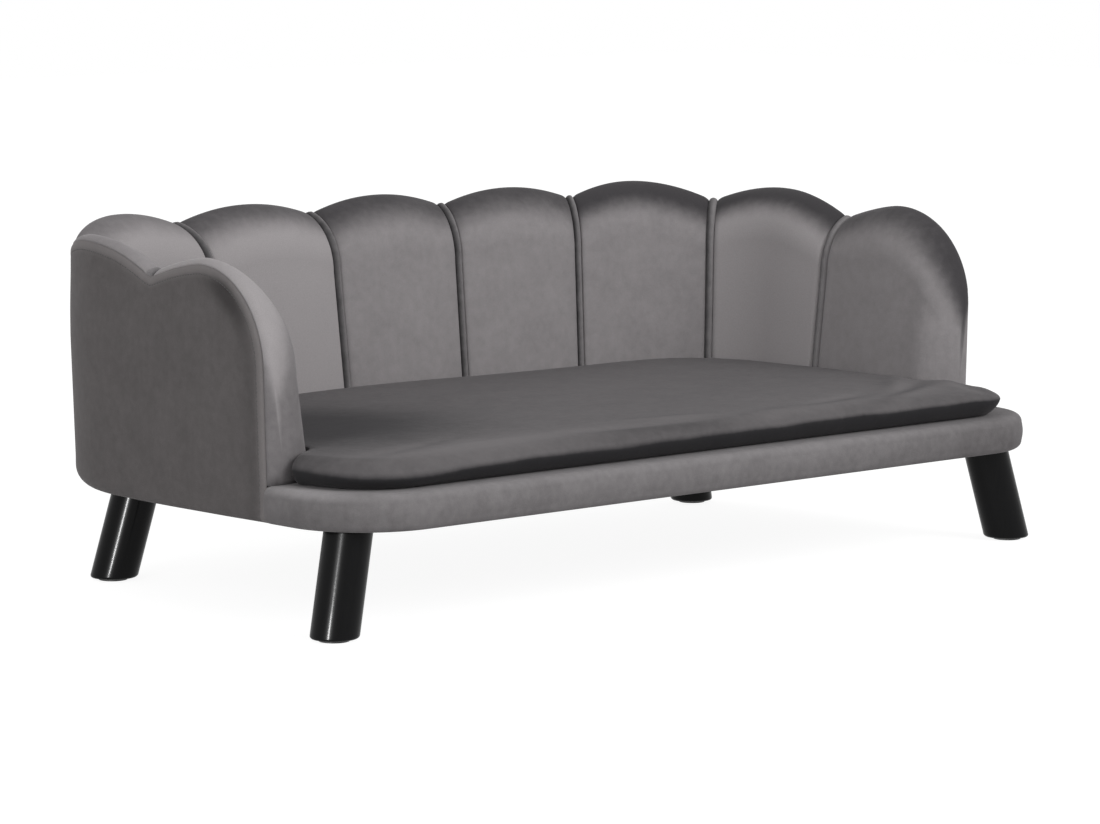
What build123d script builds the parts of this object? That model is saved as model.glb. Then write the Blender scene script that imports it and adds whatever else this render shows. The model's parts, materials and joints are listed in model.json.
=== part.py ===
"""A low sofa for a dog: a platform on four splayed legs, a channelled wall with a scalloped top
round three sides, and a loose cushion with a zipped cover.

Millimetres. X runs along the sofa, +Y points to its back and +Z up.
The origin is on the floor under the middle of the sofa.
"""

import os
from math import cos, pi, radians, sin, sqrt

from build123d import *

# Overall sizes
sofa_length = 980.0
platform_depth = 560.0
leg_height = 103.4
platform_corner_radius = 95.0
arm_setback = 132.0
wall_corner_radius = 170.0
wall_corner_turn = 86.0

# Clearance between pieces that lie against each other
fit_gap = 0.3
cut_overrun = 20.0

# Platform, from the bottom up
dust_cover_thickness = 0.8
dust_cover_inset = 26.0
rail_height = 18.0
rail_width = 40.0
board_thickness = 12.0
platform_foam_thickness = 4.1
velvet_thickness = 1.5
lip_radius = 7.0
corner_block_size = 84.0
block_edge_inset = 22.0
cross_rail_place = 140.0
side_rail_inset = 75.0

# Legs, with the insets of their top ends from the platform's edges
leg_diameter = 47.0
leg_edge_radius = 3.0
front_leg_side_inset = 47.0
front_leg_inset = 63.5
rear_leg_side_inset = 107.0
rear_leg_inset = 89.0
splay_sideways = 26.8
splay_lengthways = 10.0
glide_diameter = 30.0
glide_thickness = 2.5
glide_edge_radius = 0.8
glide_pin_diameter = 3.0
glide_pin_length = 14.0

# Hanger bolts and tee nuts, along the leg's axis
bolt_diameter = 8.0
bolt_in_leg = 28.0
bolt_in_block = 15.0
thread_clearance = 0.1
tee_nut_barrel_diameter = 11.0
tee_nut_flange_diameter = 20.0
tee_nut_flange_thickness = 1.5
tee_nut_length = 9.0
tee_nut_rise = 3.0

# Wall, in layers from its outer face inwards
outer_panel_thickness = 3.0
skin_thickness = 3.0
rib_depth = 17.0
rib_thickness = 15.0
wall_rail_height = 18.0
inner_skin_rise = 120.0
crown_block_height = 40.0
seam_allowance = 9.0
core_drop = 32.0

# Channels of the wall: their widths, and heights above the floor
front_channel_width = 176.0
corner_seam_turn = 40.0
middle_channels = 5
front_crest_height = 349.5
arm_crest_height = 359.8
corner_crest_height = 366.5
back_crest_height = 367.2
middle_crest_height = 368.2
arm_seam_height = 331.4
corner_seam_height = 342.8
back_seam_height = 350.8
middle_seam_height = 351.4
arm_front_radius = 101.0
arm_crest_power_share = 1.5

# Section of a channel: the roll over the top, and the inner face that leans back
wall_depth_at_seat = 63.5
roll_depth = 47.0
roll_height = 60.0
channel_crown = 5.5
arm_end_roll = 30.0
crown_power_share = 0.7

# Strips sewn between the channels
strip_width = 10.0
strip_sink = 4.0

# Screws that hold the wall down
screw_shank_diameter = 4.0
screw_head_diameter = 8.0
screw_head_height = 2.4
screw_length = 24.0

# Loose cushion
cushion_gap = 0.4
cushion_height = 34.0
cushion_band_height = 20.0
cushion_setback = 17.0
cushion_half_width = 472.0
cushion_front_radius = 82.0
cushion_ear_radius = 26.0
cushion_neck_radius = 20.0
cushion_arm_clearance = 2.0
cushion_side_draw = 2.5
cushion_edge_roll = 8.0
cushion_top_roll = 18.0
cover_ease = 0.8

# Zip in a groove along the underside of the cushion
zip_length = 420.0
zip_place = 110.0
zip_groove_width = 26.0
zip_groove_depth = 7.0
zip_tape_width = 22.0
zip_tape_thickness = 1.0
zip_bead_width = 5.0
zip_bead_height = 1.8
zip_neck_width = 2.4
zip_neck_height = 1.2
zip_stop_length = 5.0
slider_length = 11.0
slider_width = 8.4
slider_plate = 1.0
slider_flange = 0.7
pull_length = 16.0
pull_width = 6.0
pull_thickness = 0.7

# Shares of a channel's width at which its sections lie, and those of the crown of the cushion
section_shares = (0.0, 0.1, 0.28, 0.5, 0.72, 0.9, 1.0)
arm_end_shares = (0.03, 0.1, 0.25, 0.5, 0.78, 1.0)
cushion_crown_shares = (-1.25, -0.6, 0.0, 0.6, 1.25)

# Worked out from the sizes above
half_length = sofa_length / 2
front_edge = -platform_depth / 2
rear_edge = platform_depth / 2
arm_front = front_edge + arm_setback
platform_bottom = leg_height
rail_bottom = platform_bottom + dust_cover_thickness
board_bottom = rail_bottom + rail_height
board_top = board_bottom + board_thickness
foam_top = board_top + platform_foam_thickness
platform_top = foam_top + velvet_thickness
back_turn = 180.0 - 2 * wall_corner_turn
back_radius = (
    half_length - wall_corner_radius * (1 - cos(radians(wall_corner_turn)))
) / cos(radians(wall_corner_turn))
corner_start = (
    rear_edge
    - wall_corner_radius * sin(radians(wall_corner_turn))
    - back_radius * (1 - sin(radians(wall_corner_turn)))
)
skin_near = outer_panel_thickness + fit_gap
skin_far = skin_near + skin_thickness
rib_near = skin_far + fit_gap
rib_far = rib_near + rib_depth
inner_skin_near = rib_far + fit_gap
inner_skin_far = inner_skin_near + skin_thickness
core_depth = inner_skin_far + fit_gap
core_front = arm_front + seam_allowance
channel_bottom = platform_top + fit_gap
cushion_bottom = platform_top + fit_gap
crest_heights = (
    front_crest_height,
    arm_crest_height,
    corner_crest_height,
    back_crest_height,
    middle_crest_height,
    back_crest_height,
    corner_crest_height,
    arm_crest_height,
    front_crest_height,
)
seam_heights = (
    front_crest_height,
    arm_seam_height,
    corner_seam_height,
    back_seam_height,
    middle_seam_height,
    middle_seam_height,
    back_seam_height,
    corner_seam_height,
    arm_seam_height,
    front_crest_height,
)
channel_count = len(crest_heights)
last_channel = channel_count - 1

os.makedirs("parts", exist_ok=True)


def wall_line(inset, front):
    """The U that the wall follows, inset from its outer face, from one arm's front to the other's."""
    with BuildLine() as line:
        arm = Line((-half_length + inset, front), (-half_length + inset, corner_start))
        corner = JernArc(arm @ 1, arm % 1, wall_corner_radius - inset, -wall_corner_turn)
        back = JernArc(corner @ 1, corner % 1, back_radius - inset, -back_turn)
        far_corner = JernArc(back @ 1, back % 1, wall_corner_radius - inset, -wall_corner_turn)
        Line(far_corner @ 1, (half_length - inset, front))
    return line


def wall_strip(near, far, front):
    """The plan of one layer of the wall, between two insets."""
    with BuildSketch(Plane.XY) as strip:
        with BuildLine():
            add(wall_line(near, front).line)
            add(wall_line(far, front).line)
            Line((-half_length + near, front), (-half_length + far, front))
            Line((half_length - near, front), (half_length - far, front))
        make_face()
    return strip.sketch


def platform_plan(inset):
    """The plan of the platform: the wall's U closed by a straight front with round corners."""
    corner_radius = platform_corner_radius - inset
    corner_place = front_edge + platform_corner_radius
    with BuildSketch(Plane.XY) as plan:
        with BuildLine():
            add(wall_line(inset, corner_place).line)
            left = JernArc((-half_length + inset, corner_place), (0, -1), corner_radius, 90)
            right = JernArc((half_length - inset, corner_place), (0, -1), corner_radius, -90)
            Line(left @ 1, right @ 1)
        make_face()
    return plan.sketch


def seam_places(inset):
    """How far along the inset line each channel starts, and where the last one ends."""
    corner_radius = wall_corner_radius - inset
    arm = corner_start - arm_front
    corner_seam = arm + corner_radius * radians(corner_seam_turn)
    total = (
        2 * arm
        + 2 * corner_radius * radians(wall_corner_turn)
        + (back_radius - inset) * radians(back_turn)
    )
    middle = (total - 2 * corner_seam) / middle_channels
    middle_seams = [corner_seam + middle * count for count in range(middle_channels + 1)]
    return [0.0, front_channel_width, *middle_seams, total - front_channel_width, total]


outer_line = wall_line(0.0, arm_front).wire()
inner_line = wall_line(wall_depth_at_seat, arm_front).wire()
outer_places = seam_places(0.0)
inner_places = seam_places(wall_depth_at_seat)
channel_widths = [outer_places[i + 1] - outer_places[i] for i in range(channel_count)]


def station(channel, share):
    """A vertical plane across the wall at a share of a channel's width, X inwards and Y up.

    Also returns how much longer the slanting way across is than the square one.
    """
    near_place = outer_places[channel] + share * channel_widths[channel]
    far_width = inner_places[channel + 1] - inner_places[channel]
    far_place = inner_places[channel] + share * far_width
    near = outer_line.position_at(near_place, position_mode=PositionMode.LENGTH)
    far = inner_line.position_at(far_place, position_mode=PositionMode.LENGTH)
    across = far - near
    plane = Plane(origin=near, x_dir=across, z_dir=across.cross(Vector(0, 0, 1)))
    return plane, across.length / wall_depth_at_seat


def from_arm_end(channel, share):
    """The length from the nearer arm's front end to the station, in an end channel."""
    return channel_widths[channel] * (share if channel == 0 else 1 - share)


def crest(channel, share, sink):
    """Height of the scalloped top edge, sunk by an amount square to that edge."""
    if channel not in (0, last_channel):
        left, right = seam_heights[channel], seam_heights[channel + 1]
        rise = crest_heights[channel] - (left + right) / 2
        return left + (right - left) * share + rise * 4 * share * (1 - share) - sink
    length = from_arm_end(channel, share)
    if length < arm_front_radius:
        reach = (arm_front_radius - sink) ** 2 - (arm_front_radius - length) ** 2
        return front_crest_height - arm_front_radius + sqrt(max(reach, 0.0))
    fall_share = (length - arm_front_radius) / (channel_widths[channel] - arm_front_radius)
    drop = front_crest_height - arm_seam_height
    return front_crest_height - drop * fall_share**arm_crest_power_share - sink


def end_roll_share(channel, share):
    """How much of its full depth the channel has where it rounds off at the arm's front end."""
    if channel not in (0, last_channel):
        return 1.0
    length = min(from_arm_end(channel, share), arm_end_roll)
    return sqrt(1 - (1 - length / arm_end_roll) ** 2)


def channel_section(channel, share, crown, sink):
    """One section of a channel: up the inner face, over the roll and down to the outer edge."""
    plane, slant = station(channel, share)
    top = crest(channel, share, sink)
    full = end_roll_share(channel, share) * slant
    low = (wall_depth_at_seat + crown - sink) * full
    high = (roll_depth + crown - sink) * full
    rise = min(roll_height, (top - channel_bottom) / 2)
    with BuildSketch(plane) as section:
        with BuildLine():
            Polyline((0, top), (0, channel_bottom), (low, channel_bottom), (high, top - rise))
            ThreePointArc(
                (high, top - rise),
                (high * sin(pi / 4), top - rise * (1 - cos(pi / 4))),
                (0, top),
            )
        make_face()
    return section.sketch


def above_crest(sink):
    """The space above the scalloped edge, as one tool that trims the layers of the wall."""
    ceiling = max(crest_heights) + cut_overrun
    reach = core_depth + cut_overrun
    with BuildPart() as tool:
        for channel in range(channel_count):
            shares = arm_shares(channel, 0.0, 0.0) if channel in (0, last_channel) else section_shares
            for share in shares:
                plane, slant = station(channel, share)
                low = crest(channel, share, sink)
                with BuildSketch(plane):
                    with BuildLine():
                        Polyline(
                            (-cut_overrun, low),
                            (reach * slant, low),
                            (reach * slant, ceiling),
                            (-cut_overrun, ceiling),
                            close=True,
                        )
                    make_face()
            loft(ruled=True)
    return tool.part


def arm_shares(channel, end_gap, seam_gap):
    """Shares for an end channel: close together where the arm's front rounds off, then wider."""
    width = channel_widths[channel]
    reach = arm_front_radius - end_gap
    round_shares = [(end_gap + reach * (1 - cos(pi / 2 * s))) / width for s in arm_end_shares]
    seam_share = 1 - seam_gap / width
    middle_share = (round_shares[-1] + seam_share) / 2
    shares = [end_gap / width, *round_shares, middle_share, seam_share]
    return shares if channel == 0 else [1 - share for share in reversed(shares)]


def channel_shares(channel, seam_gap):
    """Shares at which a channel's sections lie, with room for the strips beside it."""
    if channel in (0, last_channel):
        return arm_shares(channel, fit_gap, seam_gap)
    margin = seam_gap / channel_widths[channel]
    return [margin + (1 - 2 * margin) * share for share in section_shares]


def crown_at(channel, share):
    """How far the filling swells inwards at a share of the channel's width."""
    if channel in (0, last_channel):
        length = from_arm_end(channel, share)
        share = 0.5 + 0.5 * length / channel_widths[channel]
    return channel_crown * sin(pi * share) ** crown_power_share if 0 < share < 1 else 0.0


shell_trim = above_crest(seam_allowance + fit_gap)
core_trim = above_crest(core_drop + fit_gap)

# The space inside the wall: a shallow one for its outer panel and skin, that reaches up to the
# seam, and a deeper one for its ribs, blocks and inner skin, that stays under the roll
with BuildPart(mode=Mode.PRIVATE) as shell_space:
    add(extrude(wall_strip(-cut_overrun, rib_near, core_front), max(crest_heights), mode=Mode.PRIVATE))
    add(above_crest(seam_allowance), mode=Mode.SUBTRACT)
with BuildPart(mode=Mode.PRIVATE) as core_space:
    add(extrude(wall_strip(-cut_overrun, core_depth, core_front), max(crest_heights), mode=Mode.PRIVATE))
    add(above_crest(core_drop), mode=Mode.SUBTRACT)
    add(shell_space.part)

# Platform frame
front_leg_x = half_length - front_leg_side_inset
front_leg_y = -front_edge - front_leg_inset
rear_leg_x = half_length - rear_leg_side_inset
rear_leg_y = rear_edge - rear_leg_inset
side_rail_place = half_length - side_rail_inset
front_rail_y = -front_leg_y - (corner_block_size - rail_width) / 2
rear_rail_y = rear_leg_y + (corner_block_size - rail_width) / 2
leg_places = {
    "front_left": (-front_leg_x, -front_leg_y),
    "front_right": (front_leg_x, -front_leg_y),
    "rear_left": (-rear_leg_x, rear_leg_y),
    "rear_right": (rear_leg_x, rear_leg_y),
}


def leg_axis(place):
    """The leg's axis at its top end, pointing up and towards the middle of the sofa."""
    x, y = place
    lean_x = splay_sideways if x > 0 else -splay_sideways
    lean_y = splay_lengthways if y > 0 else -splay_lengthways
    return Plane(origin=(x, y, leg_height), z_dir=(-lean_x, -lean_y, leg_height))


def foot_centre(place):
    """Where the leg's axis meets the floor."""
    axis = leg_axis(place)
    foot = axis.origin - axis.z_dir * (leg_height / axis.z_dir.Z)
    return foot.X, foot.Y


foot_centres = [foot_centre(place) for place in leg_places.values()]

with BuildPart() as front_rail:
    with BuildSketch(Plane.XY.offset(rail_bottom)):
        with Locations((0, front_rail_y)):
            Rectangle(2 * front_leg_x - corner_block_size, rail_width)
    extrude(amount=rail_height)
front_rail.part.label = "front_rail"
export_step(front_rail.part, "parts/front_rail.step")

with BuildPart() as rear_rail:
    with BuildSketch(Plane.XY.offset(rail_bottom)):
        with Locations((0, rear_rail_y)):
            Rectangle(2 * rear_leg_x - corner_block_size, rail_width)
    extrude(amount=rail_height)
rear_rail.part.label = "rear_rail"
export_step(rear_rail.part, "parts/rear_rail.step")

side_rail_length = front_leg_y + rear_leg_y - corner_block_size
side_rail_y = (rear_leg_y - front_leg_y) / 2
for side, place in (("left", -side_rail_place), ("right", side_rail_place)):
    with BuildPart() as side_rail:
        with BuildSketch(Plane.XY.offset(rail_bottom)):
            with Locations((place, side_rail_y)):
                Rectangle(rail_width, side_rail_length)
        extrude(amount=rail_height)
    side_rail.part.label = f"{side}_rail"
    export_step(side_rail.part, f"parts/{side}_rail.step")

cross_rail_length = rear_rail_y - front_rail_y - rail_width
cross_rail_y = (rear_rail_y + front_rail_y) / 2
with BuildPart() as cross_rails:
    with BuildSketch(Plane.XY.offset(rail_bottom)):
        with Locations((-cross_rail_place, cross_rail_y), (cross_rail_place, cross_rail_y)):
            Rectangle(rail_width, cross_rail_length)
    extrude(amount=rail_height)
cross_rails.part.label = "cross_rails"
export_step(cross_rails.part, "parts/cross_rails.step")

# Corner blocks, bored along each leg's axis for the bolt and, from above, for the tee nut
with BuildPart() as corner_blocks:
    with BuildSketch(Plane.XY.offset(rail_bottom)):
        with Locations(*leg_places.values()):
            Rectangle(corner_block_size, corner_block_size)
    extrude(amount=rail_height)
    add(
        extrude(platform_plan(block_edge_inset), board_top, mode=Mode.PRIVATE),
        mode=Mode.INTERSECT,
    )
    for place in leg_places.values():
        axis = leg_axis(place)
        with BuildSketch(axis):
            Circle(tee_nut_barrel_diameter / 2 + fit_gap)
        extrude(amount=rail_height, both=True, mode=Mode.SUBTRACT)
        with BuildSketch(axis.offset(tee_nut_rise + tee_nut_length)):
            Circle(tee_nut_flange_diameter / 2 + fit_gap)
        extrude(amount=rail_height, mode=Mode.SUBTRACT)
corner_blocks.part.label = "corner_blocks"
export_step(corner_blocks.part, "parts/corner_blocks.step")

with BuildPart() as tee_nuts:
    for place in leg_places.values():
        axis = leg_axis(place)
        with BuildSketch(axis.offset(tee_nut_rise)):
            Circle(tee_nut_barrel_diameter / 2)
        extrude(amount=tee_nut_length)
        with BuildSketch(axis.offset(tee_nut_rise + tee_nut_length)):
            Circle(tee_nut_flange_diameter / 2)
        extrude(amount=tee_nut_flange_thickness)
        with BuildSketch(axis):
            Circle(bolt_diameter / 2 + thread_clearance)
        extrude(amount=rail_height, mode=Mode.SUBTRACT)
tee_nuts.part.label = "tee_nuts"
export_step(tee_nuts.part, "parts/tee_nuts.step")

with BuildPart() as hanger_bolts:
    for place in leg_places.values():
        with BuildSketch(leg_axis(place).offset(-bolt_in_leg)):
            Circle(bolt_diameter / 2)
        extrude(amount=bolt_in_leg + bolt_in_block)
hanger_bolts.part.label = "hanger_bolts"
export_step(hanger_bolts.part, "parts/hanger_bolts.step")

# Legs: turned cylinders sawn level at both ends, with a hole for the bolt and one for the glide
for corner, place in leg_places.items():
    axis = leg_axis(place)
    with BuildPart() as leg:
        with BuildSketch(axis.offset(-leg_height - cut_overrun)):
            Circle(leg_diameter / 2)
        extrude(amount=leg_height + 2 * cut_overrun)
        split(bisect_by=Plane.XY.offset(leg_height), keep=Keep.BOTTOM)
        split(bisect_by=Plane.XY.offset(glide_thickness), keep=Keep.TOP)
        fillet(leg.edges().group_by(Axis.Z)[0], leg_edge_radius)
        with BuildSketch(axis.offset(-bolt_in_leg)):
            Circle(bolt_diameter / 2)
        extrude(amount=leg_height, mode=Mode.SUBTRACT)
        with BuildSketch(Plane.XY.offset(glide_thickness)):
            with Locations(foot_centre(place)):
                Circle(glide_pin_diameter / 2)
        extrude(amount=glide_pin_length, mode=Mode.SUBTRACT)
    leg.part.label = f"leg_{corner}"
    export_step(leg.part, f"parts/leg_{corner}.step")

with BuildPart() as leg_glides:
    with BuildSketch(Plane.XY):
        with Locations(*foot_centres):
            Circle(glide_diameter / 2)
    extrude(amount=glide_thickness)
    fillet(leg_glides.edges().group_by(Axis.Z)[0], glide_edge_radius)
    with BuildSketch(Plane.XY.offset(glide_thickness)):
        with Locations(*foot_centres):
            Circle(glide_pin_diameter / 2)
    extrude(amount=glide_pin_length)
leg_glides.part.label = "leg_glides"
export_step(leg_glides.part, "parts/leg_glides.step")

with BuildPart() as dust_cover:
    with BuildSketch(Plane.XY.offset(platform_bottom)):
        add(platform_plan(dust_cover_inset))
        with Locations(*leg_places.values()):
            Circle(tee_nut_barrel_diameter / 2, mode=Mode.SUBTRACT)
    extrude(amount=dust_cover_thickness)
dust_cover.part.label = "dust_cover"
export_step(dust_cover.part, "parts/dust_cover.step")

# The board that the wall stands on, with a countersunk way for each screw into the wall's rail
screw_line_inset = (rib_near + rib_far) / 2
screw_line = wall_line(screw_line_inset, arm_front).wire()
screw_places = seam_places(screw_line_inset)
screw_spots = [
    screw_line.position_at((start + end) / 2, position_mode=PositionMode.LENGTH)
    for start, end in zip(screw_places, screw_places[1:])
]
with BuildPart() as base_board:
    with BuildSketch(Plane.XY.offset(board_bottom)):
        add(platform_plan(skin_near))
    extrude(amount=board_thickness)
    with BuildSketch(Plane.XY.offset(board_bottom)):
        with Locations(*screw_spots):
            Circle(screw_shank_diameter / 2 + thread_clearance)
    extrude(amount=board_thickness, mode=Mode.SUBTRACT)
    with BuildSketch(Plane.XY.offset(board_bottom)):
        with Locations(*screw_spots):
            Circle(screw_head_diameter / 2 + fit_gap)
    extrude(amount=screw_head_height, mode=Mode.SUBTRACT)
base_board.part.label = "base_board"
export_step(base_board.part, "parts/base_board.step")

with BuildPart() as wall_screws:
    with BuildSketch(Plane.XY.offset(board_bottom)):
        with Locations(*screw_spots):
            Circle(screw_head_diameter / 2)
    extrude(amount=screw_head_height)
    with BuildSketch(Plane.XY.offset(board_bottom + screw_head_height)):
        with Locations(*screw_spots):
            Circle(screw_shank_diameter / 2)
    extrude(amount=screw_length - screw_head_height)
wall_screws.part.label = "wall_screws"
export_step(wall_screws.part, "parts/wall_screws.step")

# Thin foam and velvet over the platform, open where the wall's boards stand on it
with BuildPart() as platform_foam:
    with BuildSketch(Plane.XY.offset(board_top)):
        add(platform_plan(skin_near))
    extrude(amount=platform_foam_thickness)
    fillet(platform_foam.edges().group_by(Axis.Z)[-1], lip_radius - skin_near)
    with BuildSketch(Plane.XY.offset(board_top)):
        add(wall_strip(-cut_overrun, core_depth + fit_gap, core_front - fit_gap))
    extrude(amount=platform_foam_thickness, mode=Mode.SUBTRACT)
platform_foam.part.label = "platform_foam"
export_step(platform_foam.part, "parts/platform_foam.step")

with BuildPart(mode=Mode.PRIVATE) as cover_space:
    with BuildSketch(Plane.XY.offset(platform_bottom)):
        add(platform_plan(outer_panel_thickness))
    extrude(amount=foam_top - platform_bottom)
    fillet(cover_space.edges().group_by(Axis.Z)[-1], lip_radius - outer_panel_thickness)

with BuildPart() as platform_cover:
    with BuildSketch(Plane.XY.offset(platform_bottom)):
        add(platform_plan(0.0))
    extrude(amount=platform_top - platform_bottom)
    fillet(platform_cover.edges().group_by(Axis.Z)[-1], lip_radius)
    add(cover_space.part, mode=Mode.SUBTRACT)
    with BuildSketch(Plane.XY.offset(platform_bottom)):
        add(wall_strip(-cut_overrun, core_depth + fit_gap, core_front - fit_gap))
    extrude(amount=platform_top - platform_bottom + cut_overrun, mode=Mode.SUBTRACT)
platform_cover.part.label = "platform_cover"
export_step(platform_cover.part, "parts/platform_cover.step")

# Boards of the wall, bent to its U and trimmed under the scalloped edge
with BuildPart() as wall_rail:
    with BuildSketch(Plane.XY.offset(board_top)):
        add(wall_strip(rib_near, rib_far, core_front + fit_gap))
    extrude(amount=wall_rail_height)
    with BuildSketch(Plane.XY.offset(board_top)):
        with Locations(*screw_spots):
            Circle(screw_shank_diameter / 2)
    extrude(amount=screw_length - board_thickness, mode=Mode.SUBTRACT)
wall_rail.part.label = "wall_rail"
export_step(wall_rail.part, "parts/wall_rail.step")

end_rib_share = (seam_allowance + fit_gap + rib_thickness / 2) / front_channel_width
rib_stations = (
    [(0, end_rib_share)]
    + [(channel, 0.0) for channel in range(1, channel_count)]
    + [(last_channel, 1 - end_rib_share)]
)
rib_bottom = board_top + wall_rail_height
rib_rise = max(crest_heights) - rib_bottom


def square_station(channel, share):
    """A vertical plane square to the wall's line, at the middle of its ribs."""
    start, end = screw_places[channel], screw_places[channel + 1]
    place = start + share * (end - start)
    middle = screw_line.position_at(place, position_mode=PositionMode.LENGTH)
    along = screw_line.tangent_at(place, position_mode=PositionMode.LENGTH)
    return Plane(origin=middle + Vector(0, 0, rib_bottom), z_dir=along, x_dir=(0, 0, 1))


def rib_slabs(thickness):
    """Slabs across the wall where its ribs stand."""
    with BuildPart() as slabs:
        for channel, share in rib_stations:
            with BuildSketch(square_station(channel, share)):
                with Locations((rib_rise / 2, 0)):
                    Rectangle(rib_rise, 2 * rib_depth)
            extrude(amount=thickness / 2, both=True)
    return slabs.part


with BuildPart() as wall_ribs:
    add(rib_slabs(rib_thickness))
    add(
        extrude(wall_strip(rib_near, rib_far, core_front + fit_gap), max(crest_heights), mode=Mode.PRIVATE),
        mode=Mode.INTERSECT,
    )
    add(core_trim, mode=Mode.SUBTRACT)
wall_ribs.part.label = "wall_ribs"
export_step(wall_ribs.part, "parts/wall_ribs.step")

crown_block_bottom = arm_seam_height - core_drop - crown_block_height
with BuildPart() as crown_blocks:
    with BuildSketch(Plane.XY.offset(crown_block_bottom)):
        add(wall_strip(rib_near, rib_far, core_front + seam_allowance + rib_thickness))
    extrude(amount=max(crest_heights) - crown_block_bottom)
    add(core_trim, mode=Mode.SUBTRACT)
    add(rib_slabs(rib_thickness + 2 * fit_gap), mode=Mode.SUBTRACT)
crown_blocks.part.label = "crown_blocks"
export_step(crown_blocks.part, "parts/crown_blocks.step")

with BuildPart() as outer_skin:
    with BuildSketch(Plane.XY.offset(board_top)):
        add(wall_strip(skin_near, skin_far, core_front + fit_gap))
    extrude(amount=max(crest_heights) - board_top)
    add(shell_trim, mode=Mode.SUBTRACT)
outer_skin.part.label = "outer_skin"
export_step(outer_skin.part, "parts/outer_skin.step")

with BuildPart() as inner_skin:
    with BuildSketch(Plane.XY.offset(board_top)):
        add(wall_strip(inner_skin_near, inner_skin_far, core_front + fit_gap))
    extrude(amount=inner_skin_rise)
    add(core_trim, mode=Mode.SUBTRACT)
inner_skin.part.label = "inner_skin"
export_step(inner_skin.part, "parts/inner_skin.step")

# The padded velvet panel outside the wall, from the scalloped seam down over the platform's edge
with BuildPart() as outer_panel:
    with BuildSketch(Plane.XY.offset(platform_bottom)):
        add(wall_strip(0.0, outer_panel_thickness, core_front))
    extrude(amount=max(crest_heights) - platform_bottom)
    add(shell_trim, mode=Mode.SUBTRACT)
outer_panel.part.label = "outer_panel"
export_step(outer_panel.part, "parts/outer_panel.step")

# Padded channels: each is lofted through sections across the wall, then hollowed for the boards
channel_names = (
    "arm_channel_front_left",
    "arm_channel_rear_left",
    "corner_channel_left",
    "back_channel_left",
    "back_channel_middle",
    "back_channel_right",
    "corner_channel_right",
    "arm_channel_rear_right",
    "arm_channel_front_right",
)
for channel, name in enumerate(channel_names):
    with BuildPart() as channel_pad:
        for share in channel_shares(channel, strip_width / 2):
            add(channel_section(channel, share, crown_at(channel, share), 0.0))
        loft()
        add(core_space.part, mode=Mode.SUBTRACT)
    channel_pad.part.label = name
    export_step(channel_pad.part, f"parts/{name}.step")

# Flat strips sewn between neighbouring channels, a little below their faces
strip_half = strip_width / 2 - fit_gap
for seam in range(1, channel_count):
    before_share = 1 - strip_half / channel_widths[seam - 1]
    after_share = strip_half / channel_widths[seam]
    with BuildPart() as seam_strip:
        add(channel_section(seam - 1, before_share, 0.0, strip_sink))
        add(channel_section(seam, after_share, 0.0, strip_sink))
        loft(ruled=True)
        add(core_space.part, mode=Mode.SUBTRACT)
    seam_strip.part.label = f"seam_strip_{seam}"
    export_step(seam_strip.part, f"parts/seam_strip_{seam}.step")

# Loose cushion
cushion_wall_inset = wall_depth_at_seat + channel_crown + cushion_gap
cushion_front = front_edge + cushion_setback
cushion_ear_rear = arm_front - cushion_arm_clearance
cushion_neck_x = half_length - cushion_wall_inset
cushion_neck_y = cushion_ear_rear + cushion_neck_radius
cushion_middle_y = (cushion_front + rear_edge - cushion_wall_inset) / 2


def cushion_plan(inset):
    """The cushion's plan: it fills the wall's U, necks in between the arms and spreads in front."""
    ear = cushion_half_width - inset
    front = cushion_front + inset
    front_radius = cushion_front_radius - inset
    ear_radius = cushion_ear_radius - inset
    neck_radius = cushion_neck_radius + inset
    ear_rear = cushion_ear_rear - inset
    neck_x = cushion_neck_x - inset
    with BuildSketch(Plane.XY) as plan:
        with BuildLine():
            add(wall_line(cushion_wall_inset + inset, cushion_neck_y).line)
            for side, turn in ((-1, -90), (1, 90)):
                neck = JernArc((side * neck_x, cushion_neck_y), (0, -1), neck_radius, turn)
                shoulder_end = (side * (ear - ear_radius), ear_rear)
                Line(neck @ 1, shoulder_end)
                shoulder = JernArc(shoulder_end, (side, 0), ear_radius, -turn)
                side_end = (side * ear, front + front_radius)
                Line(shoulder @ 1, side_end)
                JernArc(side_end, (0, -1), front_radius, -turn)
            Line((-ear + front_radius, front), (ear - front_radius, front))
        make_face()
    return plan.sketch


def under_crown(top):
    """The space under the cushion's crown, which falls away from its middle to all four sides."""
    rise = cushion_height - cushion_band_height - cushion_edge_roll
    half_width = cushion_neck_x - cushion_top_roll
    half_depth = rear_edge - cushion_wall_inset - cushion_top_roll - cushion_middle_y
    reach = platform_depth / 2
    floor = cushion_bottom - cut_overrun
    with BuildPart(mode=Mode.PRIVATE) as space:
        for share in cushion_crown_shares:
            ridge = top - rise * share**2
            low = ridge - rise * (reach / half_depth) ** 2
            with BuildSketch(Plane.YZ.offset(half_width * share)):
                with BuildLine():
                    ThreePointArc(
                        (cushion_middle_y - reach, low),
                        (cushion_middle_y, ridge),
                        (cushion_middle_y + reach, low),
                    )
                    Polyline(
                        (cushion_middle_y + reach, low),
                        (cushion_middle_y + reach, floor),
                        (cushion_middle_y - reach, floor),
                        (cushion_middle_y - reach, low),
                    )
                make_face()
        loft()
    return space.part


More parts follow.
